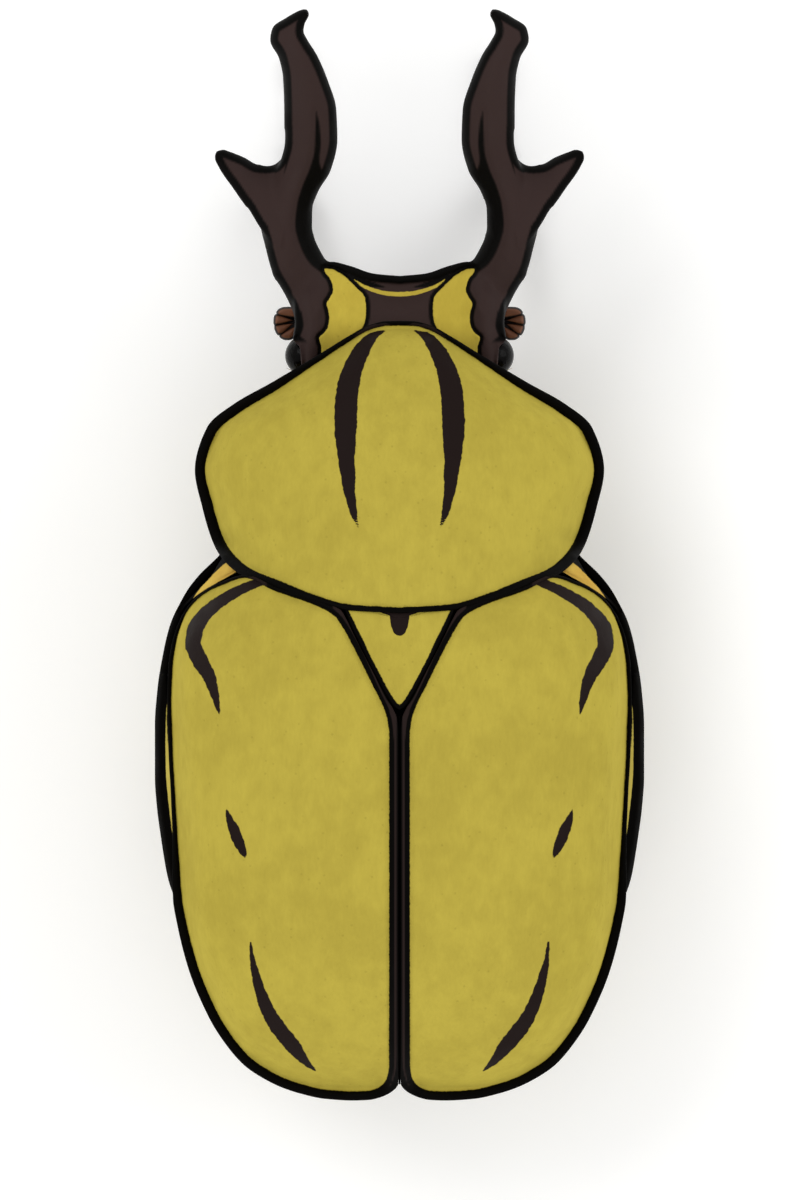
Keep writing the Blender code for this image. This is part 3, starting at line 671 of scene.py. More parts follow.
def ribbed_top(x, y):
    """Wing case with its two faint lengthwise ribs."""
    height = case_top(x, y)
    for share in (0.38, 0.68):
        away = (abs(x) / case_half(y) - share) * 6.8
        height += 0.045 * rib_strength(y) * bell(away, 0.3)
    return height


def case_drop(x, y):
    """How far the edge comes down: under the shield in front, and to one level at the side."""
    front = 0.3 * ramp(y, 2.9, 1.2) * ramp(x, 1.6, 2.9)
    side = max(ramp(x, 4.0, 5.2) * ramp(y, 1.6, 2.6), ramp(y, 14.0, 15.0) * ramp(x, 0.1, 1.6))
    return front + (ribbed_top(x, y) - edge_height(y)) * side


case = plate(
    case_outline,
    (3.4, 8.0),
    ribbed_top,
    plate_floor,
    92,
    bead=0.06,
    dip=0.05,
    rim=14,
    roll=case_drop,
)
at = spots(case)
marks = from_strokes(at, CASE_MARKS)
sink(case, marks, 0.03)
CASE_BEAD = [
    (0.27, 15.52, 0.008), (0.19, 15.3, 0.018), (0.135, 15.05, 0.03), (0.118, 14.6, 0.034),
    (0.118, 5.6, 0.034), (0.142, 4.94, 0.06), (0.184, 4.62, 0.085), (0.254, 4.46, 0.065),
    (0.36, 4.3, 0.025), (0.494, 4.05, 0.02), (0.985, 2.98, 0.02), (1.325, 2.28, 0.04),
    (1.465, 2.0, 0.065), (1.614, 1.72, 0.1), (1.8, 1.48, 0.15),
]
beads = BEAD_TONE * ramp(-from_strokes(at, [CASE_BEAD]), -0.01, 0.01)
tones = np.maximum(MARK_TONE * (marks < 0.1), beads)
paint(case, mark=marks, rim=-from_region(at, inset(case_outline), 400), tone=tones)
pair("wing_case", case, yellow_down, "yellow_down", "elytron")


def loft(columns, rows, place):
    """Closed skin whose columns run round a piece and whose rows run from end to end."""
    mesh = bmesh.new()
    bmesh.ops.create_grid(mesh, x_segments=columns, y_segments=rows, size=0.5)
    for vertex in mesh.verts:
        vertex.co = Vector(place(vertex.co.x + 0.5, vertex.co.y + 0.5))
    bmesh.ops.remove_doubles(mesh, verts=mesh.verts, dist=1e-4)
    bmesh.ops.holes_fill(mesh, edges=mesh.edges)
    bmesh.ops.recalc_face_normals(mesh, faces=mesh.faces)
    return mesh


def tongue_place(around, along):
    """The dark tongue that locks the two wing cases to each other down in the seam."""
    y = 4.7 + 10.8 * along
    angle = 2 * math.pi * around
    return 0.028 * math.cos(angle), y, case_top(0, y) - 0.6 + 0.45 * math.sin(angle)


piece("seam_tongue", uncoated(loft(16, 90, tongue_place), 0), yellow_down, "yellow_down")


# Shoulder plates: a small wedge on each side that fills the corner between the shield and the
# wing case. Its coat is a warmer yellow than the back's.
shoulder_down = coated("shoulder_down", rgb(212, 180, 84), rgb(200, 158, 72), 0.015)
shoulder_outline = chain([
    (4.6, 0.4, 0.03), (4.85, 0.08, 0.05), (5.15, -0.12, 0.08), (5.33, 0.06, 0.12), (5.53, 0.25, 0.2),
    (5.85, 0.56, 0.24), (6.2, 1.0, 0.24), (6.42, 1.38, 0.18), (6.56, 1.68, 0.06), (6.47, 1.7, 0.03),
    (6.25, 1.47, 0.03), (5.91, 1.165, 0.03), (5.29, 0.8, 0.03), (4.6, 0.4, 0.03),
])
SHOULDER_COAT = chain([
    (4.9, 0.06), (5.06, 0.21), (5.25, 0.37), (5.44, 0.55), (5.7, 0.81), (5.89, 1.05), (6.1, 1.37),
    (5.74, 1.05), (5.36, 0.82), (5.06, 0.67), (4.74, 0.54), (4.6, 0.42), (4.7, 0.25), (4.9, 0.06),
])
SHOULDER_EDGE = [(5.15, -0.12), (5.53, 0.25), (5.85, 0.56), (6.2, 1.0), (6.56, 1.68)]
shoulder_inner = smooth([(4.8, 8.05), (5.6, 7.65), (6.5, EDGE + 0.05)])
shoulder_outer = smooth([(4.8, 7.1), (5.9, 6.6), (6.5, EDGE + 0.05)])
outer_edge = chain(SHOULDER_EDGE)
edge_points = [outer_edge(step / 40) for step in range(41)]


def shoulder_top(x, y):
    """Slope from the wing case's shoulder down to the plate's outer edge."""
    away = min((Vector((x, y)) - point).length for point in edge_points)
    fall = shoulder_inner(x) - shoulder_outer(x)
    return shoulder_inner(x) - fall * bell(away, 0.28)


shoulder = plate(shoulder_outline, (5.5, 0.62), shoulder_top, plate_floor, 40, bead=0.03, wall=8)
at = spots(shoulder)
coat_depth = -from_region(at, SHOULDER_COAT)
coat_depth = np.minimum(coat_depth, at[:, 2] - [shoulder_top(x, y) - 0.15 for x, y in at[:, :2]])
paint(shoulder, mark=NO_MARK, rim=coat_depth, tone=0)
pair("shoulder_plate", shoulder, shoulder_down, "shoulder_plate", "mesepimeron")


# Head: one hard capsule with a rim along its front, a hollow brow and a thick ridge on each side
# from the seat of the horn to the eye. The coat lies in a patch inside each ridge and in a thin
# arc behind the rim.
head_down = coated("head_and_horns", rgb(206, 184, 73), rgb(194, 171, 66), 0.05)
head_outline = both_sides(chain([
    (0, -8.19, 0.25), (0.75, -8.26, 0.25), (1.46, -8.49, 0.22), (2.0, -8.61, 0.15), (2.3, -8.5, 0.06),
    (2.9, -8.0, 0.05), (3.08, -7.5, 0.1), (3.1, -7.1, 0.12), (3.05, -6.75, 0.12), (3.15, -6.4, 0.12),
    (3.07, -6.24, 0.08), (2.92, -6.1, 0.05), (2.88, -5.6, 0.05), (2.6, -5.1, 0.05), (2.2, -4.87, 0.05),
    (0, -4.85, 0.05),
]))
HEAD_PATCH = chain([
    (2.213, -8.405), (2.002, -8.392), (1.812, -8.31), (1.623, -8.19), (1.435, -8.013), (1.258, -7.837),
    (1.082, -7.66), (1.002, -7.498), (0.98, -7.255), (0.985, -7.013), (1.029, -6.797), (1.096, -6.648),
    (1.191, -6.4), (1.7, -5.7), (2.3, -5.7), (2.286, -6.066), (2.339, -6.283), (2.353, -6.35),
    (2.19, -6.527), (2.096, -6.688), (2.055, -6.931), (2.081, -7.147), (2.131, -7.364), (2.029, -7.554),
    (1.947, -7.77), (1.961, -7.905), (2.055, -8.136), (2.163, -8.255), (2.213, -8.405),
])
HEAD_ARC = [
    (1.34, -8.09, 0.005), (1.08, -7.9, 0.045), (0.74, -7.765, 0.055), (0.34, -7.67, 0.062),
    (0, -7.648, 0.066),
]
ARC_SHADE = [(0.45, -7.86, 0.02), (0.8, -7.93, 0.07), (1.15, -8.06, 0.09), (1.4, -8.2, 0.08)]
LINE = 0.12  # width of the bare line round each patch
head_roof = smooth(
    [(-8.6, 6.2), (-7.9, 6.45), (-7.2, 6.75), (-6.5, 6.9), (-5.9, 6.78), (-4.9, 6.35)]
)
head_floor = smooth([(-8.6, 5.15), (-7.6, 4.85), (-6.4, 4.65), (-4.9, 4.75)])
ridge_place = smooth([(-8.4, 2.6), (-7.6, 2.5), (-6.8, 2.5), (-6.0, 2.62)])


def head_top(x, y):
    """Roof of the head: hollow between the horns, raised where each stands, ridged at the sides."""
    height = head_roof(y) - 0.045 * x * x
    height += 0.45 * swelling(x, y, (2.6, -7.7), (0.7, 0.9))
    height -= 0.3 * swelling(x, y, (0, -7.7), (1.3, 0.7))
    height += 0.2 * bell(abs(x) - ridge_place(y), 0.3)
    return height + 0.1 * swelling(x, y, (0, -6.95), (0.7, 0.4))


def head_bottom(x, y):
    """Underside of the head, cut away below the shelf at each side where a feeler sits."""
    shelf = ramp(abs(x), 2.5, 2.9) * ramp(y, -7.75, -7.5)
    return head_floor(y) + 0.02 * x * x + 0.8 * shelf


head = plate(head_outline, (0, -6.5), head_top, head_bottom, 64, bead=0.08, dip=0.05, wall=8, back=12)


# Horns: each a hard outgrowth of the head that rises forward, forks once outward and hooks in at
# its tip, with a flute along its inner side that is also painted black as painted shade. Head and
# horns are grown together, so the left half of both is one skin here, parted at the seat of the
# horn and then mirrored.
def together(meshes):
    """Joins closed meshes into one, each still whole."""
    whole = bmesh.new()
    for mesh in meshes:
        data = bpy.data.meshes.new("part")
        mesh.to_mesh(data)
        mesh.free()
        whole.from_mesh(data)
        bpy.data.meshes.remove(data)
    return whole


def weld(meshes, grain, relax):
    """One closed skin round overlapping closed shapes, rebuilt on a fine grid and relaxed."""
    data = bpy.data.meshes.new("weld")
    whole = together(meshes)
    whole.to_mesh(data)
    whole.free()
    holder = put("weld", data)
    rebuild = holder.modifiers.new("rebuild", "REMESH")
    rebuild.mode = "VOXEL"
    rebuild.voxel_size = grain
    soften = holder.modifiers.new("soften", "SMOOTH")
    soften.factor = 0.5
    soften.iterations = relax
    graph = bpy.context.evaluated_depsgraph_get()
    made = bpy.data.meshes.new_from_object(holder.evaluated_get(graph))
    mesh = bmesh.new()
    mesh.from_mesh(made)
    bpy.data.objects.remove(holder)
    bpy.data.meshes.remove(data)
    bpy.data.meshes.remove(made)
    return mesh


def cut_away(mesh, place, away):
    """Cuts away what lies on the side of a plane that away points to."""
    everything = mesh.verts[:] + mesh.edges[:] + mesh.faces[:]
    bmesh.ops.bisect_plane(
        mesh, geom=everything, dist=1e-5, plane_co=place, plane_no=away, clear_outer=True
    )


def part_off(mesh, place, away):
    """Cuts away one side and closes the cut, which keeps a sharp edge."""
    cut_away(mesh, place, away)
    rim = [
        edge
        for edge in mesh.edges
        if edge.is_boundary and all(abs((end.co - place).dot(away)) < 1e-4 for end in edge.verts)
    ]
    bmesh.ops.holes_fill(mesh, edges=rim)
    for edge in rim:
        edge.smooth = False


BEAM_EDGES = [
    ((2.95, -6.7), (1.8, -7.8)), ((3.36, -7.6), (2.2, -8.75)), ((3.77, -8.35), (2.42, -9.15)),
    ((3.94, -9.0), (2.56, -9.6)), ((4.1, -9.75), (2.55, -10.15)), ((3.92, -10.6), (2.36, -10.7)),
    ((3.55, -11.4), (2.0, -11.3)), ((3.37, -12.1), (1.81, -12.15)), ((3.37, -13.0), (1.84, -13.0)),
    ((3.4, -13.91), (2.08, -13.81)), ((3.52, -14.49), (2.4, -14.54)), ((3.77, -14.99), (2.66, -14.95)),
    ((3.7, -15.33), (2.79, -15.23)), ((3.33, -15.59), (2.75, -15.46)), ((3.03, -15.76), (2.66, -15.62)),
    ((2.84, -15.83), (2.62, -15.72)), ((2.75, -15.83), (2.68, -15.81)),
]
TINE_EDGES = [
    ((3.5, -8.8), (3.0, -12.0)), ((4.14, -9.6), (3.4, -11.7)), ((4.46, -10.15), (3.74, -11.41)),
    ((4.66, -10.43), (4.12, -11.42)), ((4.9, -10.78), (4.55, -11.63)), ((5.16, -11.13), (4.95, -11.79)),
    ((5.33, -11.42), (5.14, -11.85)), ((5.4, -11.58), (5.27, -11.83)), ((5.4, -11.7), (5.34, -11.79)),
]
HORN_FLUTE_AND_SHADE = chain([
    (2.3, -8.28), (2.63, -8.54), (2.92, -9.07), (3.06, -9.66), (3.0, -10.26), (2.85, -10.78),
    (2.63, -11.3), (2.49, -11.82), (2.46, -12.42), (2.43, -12.94), (2.33, -12.57), (2.29, -12.05),
    (2.33, -11.53), (2.2, -11.0), (2.3, -10.3), (2.4, -9.6), (2.2, -8.9), (2.1, -8.5), (2.3, -8.28),
])


def blade(pairs, heights, half_depth, columns, rows):
    """Antler-like blade between an outer and an inner edge, each a smooth line seen from above."""
    outer, inner = [chain(edge) for edge in zip(*pairs)]

    def place(around, along):
        a = outer(along)
        b = inner(along)
        middle = (a + b) / 2
        reach = (a - b) / 2
        angle = 2 * math.pi * around
        lift = heights(along) + half_depth(along) * math.sin(angle)
        lean = 0.35 * min(4 * along, 1) * half_depth(along) * math.sin(angle)
        return middle.x + reach.x * math.cos(angle), middle.y + reach.y * math.cos(angle) + lean, lift

    return loft(columns, rows, place)


def between(pairs):
    """Outline of a blade seen from above."""
    outer, inner = [chain(edge) for edge in zip(*pairs)]
    return lambda share: outer(2 * share) if share < 0.5 else inner(2 - 2 * share)


beam_rise = smooth([
    (0, 5.45), (0.1, 5.95), (0.16, 6.2), (0.42, 7.1), (0.61, 8.5), (0.8, 10.0), (1, 11.3),
])
beam_depth = smooth([(0, 0.5), (0.1, 0.66), (0.35, 0.66), (0.6, 0.56), (0.85, 0.45), (1, 0.16)])
tine_rise = smooth([(0, 6.95), (0.5, 7.3), (1, 7.9)])
tine_depth = smooth([(0, 0.42), (0.6, 0.36), (1, 0.12)])
beam = blade(BEAM_EDGES, beam_rise, beam_depth, 40, 110)
tine = blade(TINE_EDGES, tine_rise, tine_depth, 32, 50)
grown = weld([head, beam, tine], 0.05, 2)
cut_away(grown, (0, 0, 0), (-1, 0, 0))

SEAT = Vector((2.15, -8.62, 6))
SEAT_WAY = Vector((0.753, -0.659, 0))  # the way the horn leaves the head
HORN_ONLY = -8.6  # place along the midline in front of which only horn is left
at = spots(grown)
in_beam = from_region(at, between(BEAM_EDGES), 300)
in_tine = from_region(at, between(TINE_EDGES))
patch = from_region(at, HEAD_PATCH, 300)
from_seat = (at - np.array(SEAT)) @ np.array(SEAT_WAY)
by_fork = (np.abs(in_beam) < 0.45) & (np.abs(in_tine) < 0.6)
by_seat = (np.abs(from_seat) < 0.75) & (patch > 0.16) & (at[:, 0] > 2.05)
soft = [vertex for vertex, f, s in zip(grown.verts, by_fork, by_seat) if f or s]
for turn in range(45):
    bmesh.ops.smooth_vert(
        grown, verts=soft, factor=0.5, use_axis_x=True, use_axis_y=True, use_axis_z=True
    )
at = spots(grown)
flute_and_shade = from_region(at, HORN_FLUTE_AND_SHADE, 200)
under = at[:, 2] < [head_top(x, y) - 0.45 for x, y in at[:, :2]]
for vertex, hollow, line, low in zip(grown.verts, flute_and_shade, patch, under):
    if vertex.normal.z > 0:
        vertex.co.z -= 0.12 * ramp(-hollow, -0.15, 0.15) * vertex.normal.z
        if not low and vertex.co.y > HORN_ONLY:
            vertex.co.z -= 0.05 * bell(line - LINE / 2, 0.05)
in_head = -from_region(at, head_outline, 300)
depth = np.maximum(-np.minimum(in_beam, in_tine), in_head)
tone = np.maximum(ramp(depth, 0.215, 0.265), ramp(at[:, 1], -6.3, -6.2))
# the flute is painted black: painted shade along the horn's inner face, over its real shallow hollow
tone = tone * ramp(patch, LINE - 0.02, LINE + 0.02) * ramp(flute_and_shade, -0.03, 0.02)
tone = tone * ramp(from_strokes(at, [ARC_SHADE]), -0.015, 0.015)
tone[under & (at[:, 1] > HORN_ONLY)] = 0.8
coat_depth = -np.minimum(patch, from_strokes(at, [HEAD_ARC]))
coat_depth[under | (at[:, 1] < HORN_ONLY)] = -1
paint(grown, mark=NO_MARK, rim=coat_depth, tone=tone)
horn = grown.copy()
part_off(horn, SEAT, -SEAT_WAY)
pair("horn_beam", horn, head_down, "dark_cuticle", "horn")
part_off(grown, SEAT, SEAT_WAY)
other = turned_over(grown.copy(), MIRROR)
capsule = together([grown, other])
midline = [v for v in capsule.verts if abs(v.co.x) < 0.001]
bmesh.ops.remove_doubles(capsule, verts=midline, dist=1e-3)
piece("head_capsule", capsule, head_down, "dark_cuticle", "head")


# Eyes: glossy black domes set into the sides of the head, each packed with tiny facets.
eye_look, eye_tree, eye_shader = material("eye_facets")
facets = texture(eye_tree, "TexVoronoi", 16.0)["Distance"]
eye_relief = {"Height": facets, "Strength": 0.5, "Distance": 0.012 * MM}
eye_bump = node(eye_tree, "Bump", eye_relief, invert=True)
eye_tint = texture(eye_tree, "TexNoise", 1.5)["Fac"]
eye_colour = mix(eye_tree, eye_tint, rgb(2, 1, 1), rgb(8, 6, 5))
feed(eye_tree, eye_shader, {"Base Color": eye_colour, "Normal": eye_bump.outputs[0]})
feed(eye_tree, eye_shader, {"Roughness": 0.2, "Specular IOR Level": 0.08})


def ball(place, size, columns, rows):
    """Rounded blob with three half sizes."""
    mesh = bmesh.new()
    bmesh.ops.create_uvsphere(mesh, u_segments=columns, v_segments=rows, radius=1)
    bmesh.ops.scale(mesh, vec=size, verts=mesh.verts)
    bmesh.ops.translate(mesh, vec=place, verts=mesh.verts)
    return mesh


pair("eye_dome", ball((2.74, -5.86, 5.6), (0.62, 0.6, 0.62), 56, 40), eye_look, "eye", "eye")


# Antennae: a reddish brown stem of bead-like joints under the side of the head, and a club of
# leaves spread like a fan. The leaves' edges are darker than their faces, and a black core
# under the leaves is painted shade that shows through the gaps between them.
def shell(name, brown, black, gloss):
    """Bare shell between two dark colours, as its tone says: 0 is the black, 1 the brown."""
    made, tree, shader = material(name)
    under = place_group(tree, "bare_shell")
    tone = node(tree, "Attribute", attribute_name="tone").outputs["Fac"]
    dusk = times(tree, under["Cloud"], 0.4)
    cloudy = mix(tree, dusk, brown, darker(brown, 0.65))
    colour = mix(tree, tone, black, cloudy)
    rough = step_up(tree, under["Cloud"], 0, 1, gloss, gloss + 0.14)
    bump = node(tree, "Bump", {"Height": under["Relief"], "Strength": 0.4, "Distance": 0.02 * MM})
    feed(tree, shader, {"Base Color": colour, "Roughness": rough, "Normal": bump.outputs[0]})
    feed(tree, shader, {"Specular IOR Level": 0.22})
    return made


antenna_shell = shell("antenna_shell", rgb(122, 78, 55), rgb(16, 9, 6), 0.42)
CLUB_JOINT = (2.92, -6.9)
# Reach of the spread leaves from their joint in each direction, in degrees
club_reach = smooth([
    (-70, 0.42), (-46, 0.56), (-36, 0.67), (-22, 0.75), (-7, 0.785), (26, 0.8), (44, 0.765),
    (64, 0.63), (74, 0.5),
])
# First and last direction of each leaf in degrees and how high it sits
LEAVES = [((-68, -13), 4.54), ((-17, 12), 4.46), ((8, 37), 4.38), ((33, 72), 4.3)]


def shaft(line, half_width, half_depth, columns=24, rows=40):
    """Tapering limb along a curve; its width lies level and its depth stands square to it."""

    def place(around, along):
        share = (1 - math.cos(math.pi * along)) / 2 * 0.3 + along * 0.7
        ahead = (line(min(share + 1e-3, 1)) - line(max(share - 1e-3, 0))).normalized()
        across = ahead.cross(Vector((0, 0, 1))).normalized()
        upward = across.cross(ahead)
        angle = 2 * math.pi * around
        point = line(share) + across * (half_width(share) * math.cos(angle))
        return point + upward * (half_depth(share) * math.sin(angle))

    return loft(columns, rows, place)


def rod(line, half, columns=24, rows=40):
    """Limb that is as deep as it is wide."""
    return shaft(line, half, half, columns, rows)


def leaf(turns, level):
    """One leaf of the club: a thick wedge whose outer end follows the club's outline."""

    def spot(share, part):
        turn = turns[0] + (turns[1] - turns[0]) * share
        angle = math.radians(turn)
        return Vector(CLUB_JOINT) + club_reach(turn) * part * Vector((math.cos(angle), math.sin(angle)))

    around = [(0.5, 0.1), (0, 0.4), (0, 0.9), (0.1, 0.98), (0.3, 1), (0.5, 1), (0.7, 1), (0.9, 0.98)]
    around += [(1, 0.9), (1, 0.4), (0.5, 0.1)]
    outline = chain([(*spot(*corner), 0.04) for corner in around])
    faces = (lambda x, y: level + 0.02, lambda x, y: level - 0.02)
    made = plate(outline, spot(0.5, 0.6), *faces, 16, 0.0, 0.0, wall=2, back=16, rim=3)
    inside = -from_region(spots(made), outline)
    for vertex, depth in zip(made.verts, inside):
        round_off = 1 - max(1 - depth / 0.16, 0) ** 2
        vertex.co.z += math.copysign(0.24 * math.sqrt(max(round_off, 0)), vertex.co.z - level)
    paint(made, tone=ramp(inside, 0.045, 0.08))
    return made


def toned(mesh, tone=1):
    """Gives a whole mesh one tone."""
    paint(mesh, tone=tone)
    return mesh


scape_line = chain([(2.2, -7.45, 4.75), (2.45, -7.3, 4.45), (2.62, -7.14, 4.33)])
antenna_parts = [toned(rod(scape_line, smooth([(0, 0.12), (0.7, 0.2), (1, 0.1)])))]
for i in range(5):
    joint = (2.62 + 0.075 * i, -7.12 + 0.055 * i, 4.33 + 0.02 * i)
    antenna_parts.append(toned(ball(joint, (0.1, 0.13, 0.13 + 0.01 * i), 16, 12)))
# a flat black core under the leaves: painted shade that shows dark through the gaps between them
antenna_parts.append(toned(ball((3.12, -6.85, 4.35), (0.42, 0.34, 0.18), 24, 14), 0))
antenna = together(antenna_parts + [leaf(*numbers) for numbers in LEAVES])
pair("antenna_club", antenna, antenna_shell, "antenna", "antenna")


# Mouthparts: a broad chin plate under the head, jaws tucked beneath the front rim with a fringe
# of stiff yellow hairs, and two pairs of short jointed feelers.
underside_shell = shell("underside_shell", rgb(44, 32, 28), rgb(9, 7, 6), 0.3)
bristle_look, bristle_tree, bristle_shader = material("bristles")
strand = texture(bristle_tree, "TexNoise", 3.0)["Fac"]
bristle_colour = mix(bristle_tree, strand, rgb(178, 150, 72), rgb(112, 84, 42))
bristle_inputs = {"Base Color": bristle_colour, "Roughness": 0.55, "Specular IOR Level": 0.2}
feed(bristle_tree, bristle_shader, bristle_inputs)


HAIR = 0.018  # half width of a hair at its root


def bristles(roots):
    """Thin tapering hairs, each from a root and the way it points with its length."""
    whole = bmesh.new()
    for root, way in roots:
        way = Vector(way)
        cone = bmesh.ops.create_cone(
            whole, cap_ends=True, segments=4, radius1=HAIR, radius2=HAIR * 0.15, depth=way.length
        )["verts"]
        turn = way.to_track_quat("Z", "Y").to_matrix()
        bmesh.ops.translate(whole, vec=(0, 0, way.length / 2), verts=cone)
        bmesh.ops.rotate(whole, cent=(0, 0, 0), matrix=turn, verts=cone)
        bmesh.ops.translate(whole, vec=root, verts=cone)
    return whole


chin_outline = both_sides(chain([
    (0, -7.9, 0.08), (0.8, -7.78, 0.08), (1.35, -7.2, 0.08), (1.5, -6.2, 0.08), (0.9, -5.5, 0.06),
    (0, -5.4, 0.06),
]))


def chin_face(x, y):
    """The chin plate is made upside down, so that its worked face looks at the floor."""
    height = -3.78 - 0.36 * x * x - 0.22 * max(abs(y + 6.6) - 0.3, 0) ** 2
    return height + 0.1 * bell(x, 0.3) - 0.12 * bell(y + 7.1, 0.25)


chin = plate(chin_outline, (0, -6.6), chin_face, lambda x, y: -4.7, 30)
parts = [toned(turned_over(chin, (1, 1, -1)))]
JAW = [(0.9, -7.2, 4.5), (1.1, -7.6, 4.42), (0.72, -7.86, 4.5), (0.3, -7.9, 4.55)]
jaw_width = smooth([(0, 0.3), (0.5, 0.28), (1, 0.05)])
jaw_depth = smooth([(0, 0.25), (1, 0.06)])
OUTER_PALP = [(1.15, -6.9, 4.1), (1.5, -7.25, 3.95), (1.58, -7.65, 4.0), (1.3, -7.98, 4.15)]
INNER_PALP = [(0.45, -7.3, 3.85), (0.6, -7.5, 3.8), (0.62, -7.7, 3.82), (0.5, -7.9, 3.9)]
PALPS = ((OUTER_PALP, (0.13, 0.17, 0.15, 0.19)), (INNER_PALP, (0.09, 0.12, 0.11, 0.12)))
for side in (1, -1):
    jaw = chain([(side * x, y, z) for x, y, z in JAW])
    parts.append(toned(shaft(jaw, jaw_width, jaw_depth), 0.5))
    for line, girths in PALPS:
        way = chain([(side * x, y, z) for x, y, z in line])
        for i, girth in enumerate(girths):
            a, b = way(i / 4), way((i + 1) / 4)
            half = smooth([(0, girth * 0.6), (0.75, girth), (1, girth * 0.55)])
            joint = chain([a.lerp(b, share) for share in (-0.15, 0.5, 1.05)])
            parts.append(toned(rod(joint, half, 14, 12)))
piece("mouthparts_underside", together(parts), underside_shell, "dark_cuticle", "mouthparts")
brush = []
for i in range(60):
    x = -0.9 + 1.8 * i / 59
    lift = 0.12 * math.sin(7.3 * i)
    root = (x, -7.75 - 0.1 * math.cos(x), 4.25 + 0.1 * lift)
    way = (0.25 * x + 0.05 * math.sin(3 * i), -0.26 - lift * 0.3, -0.16 + lift)
    brush.append((root, way))
piece("mouth_brush", bristles(brush), bristle_look, "dark_cuticle")


# Prosternum: the underside of the first ring of the chest, between the shield's folded edges. The
# sides carry the down, the keeled middle is bare, and a short neck joins it to the head.
chest_shell = rgb(40, 29, 25)
# the down here is paler than the back's: partly its own colour and partly painted light that makes up
# for the shade on the flanks under the wing cases
chest_down = coated("chest_down", rgb(202, 184, 88), rgb(186, 166, 76), 0.015, chest_shell)
keel_height = smooth(
    [(-8.3, 5.1), (-4.6, 4.5), (-2, 3.7), (1, 3.4), (7, 3.4), (10, 3.6), (13, 4.3), (15.4, 5.6)]
)
FLANK = 1.5  # how far below their edges the underside meets its own sides
ROOF_GAP = 0.38  # how far below their edges the roof of the body lies


def belly(x, y, half):
    """Underside of the body, a keel that rises to its sides under the edges of the plates."""
    side = edge_height(y) - FLANK
    low = min(keel_height(y), side)
    return low + (side - low) * min(abs(x) / half, 1) ** 1.7


def trunk(front, rear, half, roof, base, columns=210, rows=100):
    """One ring of the body from front to rear, with walls between its roof and its underside."""

    def place(around, along):
        y = front + (rear - front) * along
        wide = half(y)
        if around < 0.4:
            x = wide * math.cos(math.pi * around / 0.4)
            return x, y, roof(x, y)
        if around < 0.46:
            share = (around - 0.4) / 0.06
            return -wide, y, roof(-wide, y) + (base(-wide, y) - roof(-wide, y)) * share
        if around < 0.94:
            x = -wide * math.cos(math.pi * (around - 0.46) / 0.48)
            return x, y, base(x, y)
        share = (around - 0.94) / 0.06
        return wide, y, base(wide, y) + (roof(wide, y) - base(wide, y)) * share

    return loft(columns, rows, place)


def flank_round(x, half):
    """How far the underside is rounded up into a flank."""
    return 0.45 * max(1 - (half - abs(x)) / 0.7, 0) ** 2


def groove(distance, width, depth):
    """How far a seam at this distance sinks the surface."""
    return depth * bell(distance, width)


prosternum_half = smooth([
    (-4.65, 0.9), (-4.5, 1.7), (-4.1, 3.2), (-3.5, 4.4), (-2.4, 5.2), (-1.2, 5.25), (-0.2, 5.18),
    (0.5, 5.1),
])


def prosternum_floor(x, y):
    height = belly(x, y, 5.6) + flank_round(x, prosternum_half(y))
    height += groove(abs(x) - 2.9 - 0.15 * (y + 2), 0.09, 0.14)
    height += groove(y + 3.7 - 0.12 * x * x, 0.12, 0.1)
    height += 0.35 * swelling(x, y, (1.4, -1.6), (1.1, 1.0))
    return height - 0.18 * swelling(x, y, (0, -1.2), (0.35, 1.0))


ring = trunk(-4.65, 0.5, prosternum_half, lambda x, y: edge_height(y) - ROOF_GAP, prosternum_floor)
at = spots(ring)
side_line = np.abs(at[:, 0]) - 2.98 - 0.15 * (at[:, 1] + 2)
side_line[at[:, 2] > [edge_height(y) - 0.6 for y in at[:, 1]]] = -1
paint(ring, mark=NO_MARK, rim=side_line, tone=0.8)
neck = uncoated(ball((0, -4.8, 5.45), (2.3, 1.0, 0.75), 40, 24), 0)
neck_top = uncoated(ball((0, -5.2, 6.0), (2.0, 0.9, 0.7), 40, 24), 0)


def hip(place, size, seat, knee):
    """Rounded hips of both sides, each cut flat just short of its thigh and with a fine seam."""
    way = (Vector(knee) - Vector(seat)).normalized()
    made = ball(place, size, 32, 22)
    for vertex in made.verts:
        out = (vertex.co - Vector(seat)).dot(way)
        if out > -0.1:
            vertex.co -= way * (out + 0.1)
        vertex.co.z += groove((vertex.co - Vector(place)).dot(way) + 0.1, 0.08, 0.04)
    return [uncoated(mesh, 0.9) for mesh in (made, turned_over(made.copy(), MIRROR))]


LEGS = {
    "fore": {
        "socket": (1.35, -1.45, 3.65),
        "socket_size": (0.95, 0.9, 1.0),
        "hip": (1.45, -1.95, 3.0),
        "knee": (2.7, -6.0, 3.5),
        "ankle": (3.25, -10.9, 0.62),
        "foot": [(3.0, -12.0), (2.75, -13.2), (2.9, -14.35)],
        "claws": 0.2,
        "thick": 0.56,
        "teeth": [(0.55, 0.35), (0.72, 0.4), (0.9, 0.5)],
    },
    "mid": {
        "socket": (1.55, 3.7, 3.5),
        "socket_size": (0.95, 0.85, 0.95),
        "hip": (2.0, 3.5, 2.8),
        "knee": (5.7, 1.7, 3.72),
        "ankle": (6.15, 4.6, 0.62),
        "foot": [(6.25, 5.8), (6.25, 7.3), (6.05, 8.8)],
        "thick": 0.54,
        "teeth": [(0.55, 0.3)],
    },
    "hind": {
        "socket": (1.65, 7.0, 3.5),
        "socket_size": (1.1, 0.8, 0.95),
        "hip": (2.1, 7.15, 2.85),
        "knee": (6.0, 8.3, 3.75),
        "ankle": (5.3, 11.4, 0.62),
        "foot": [(5.0, 12.6), (4.2, 13.9), (3.1, 14.8)],
        "thick": 0.56,
        "teeth": [(0.55, 0.3)],
    },
}


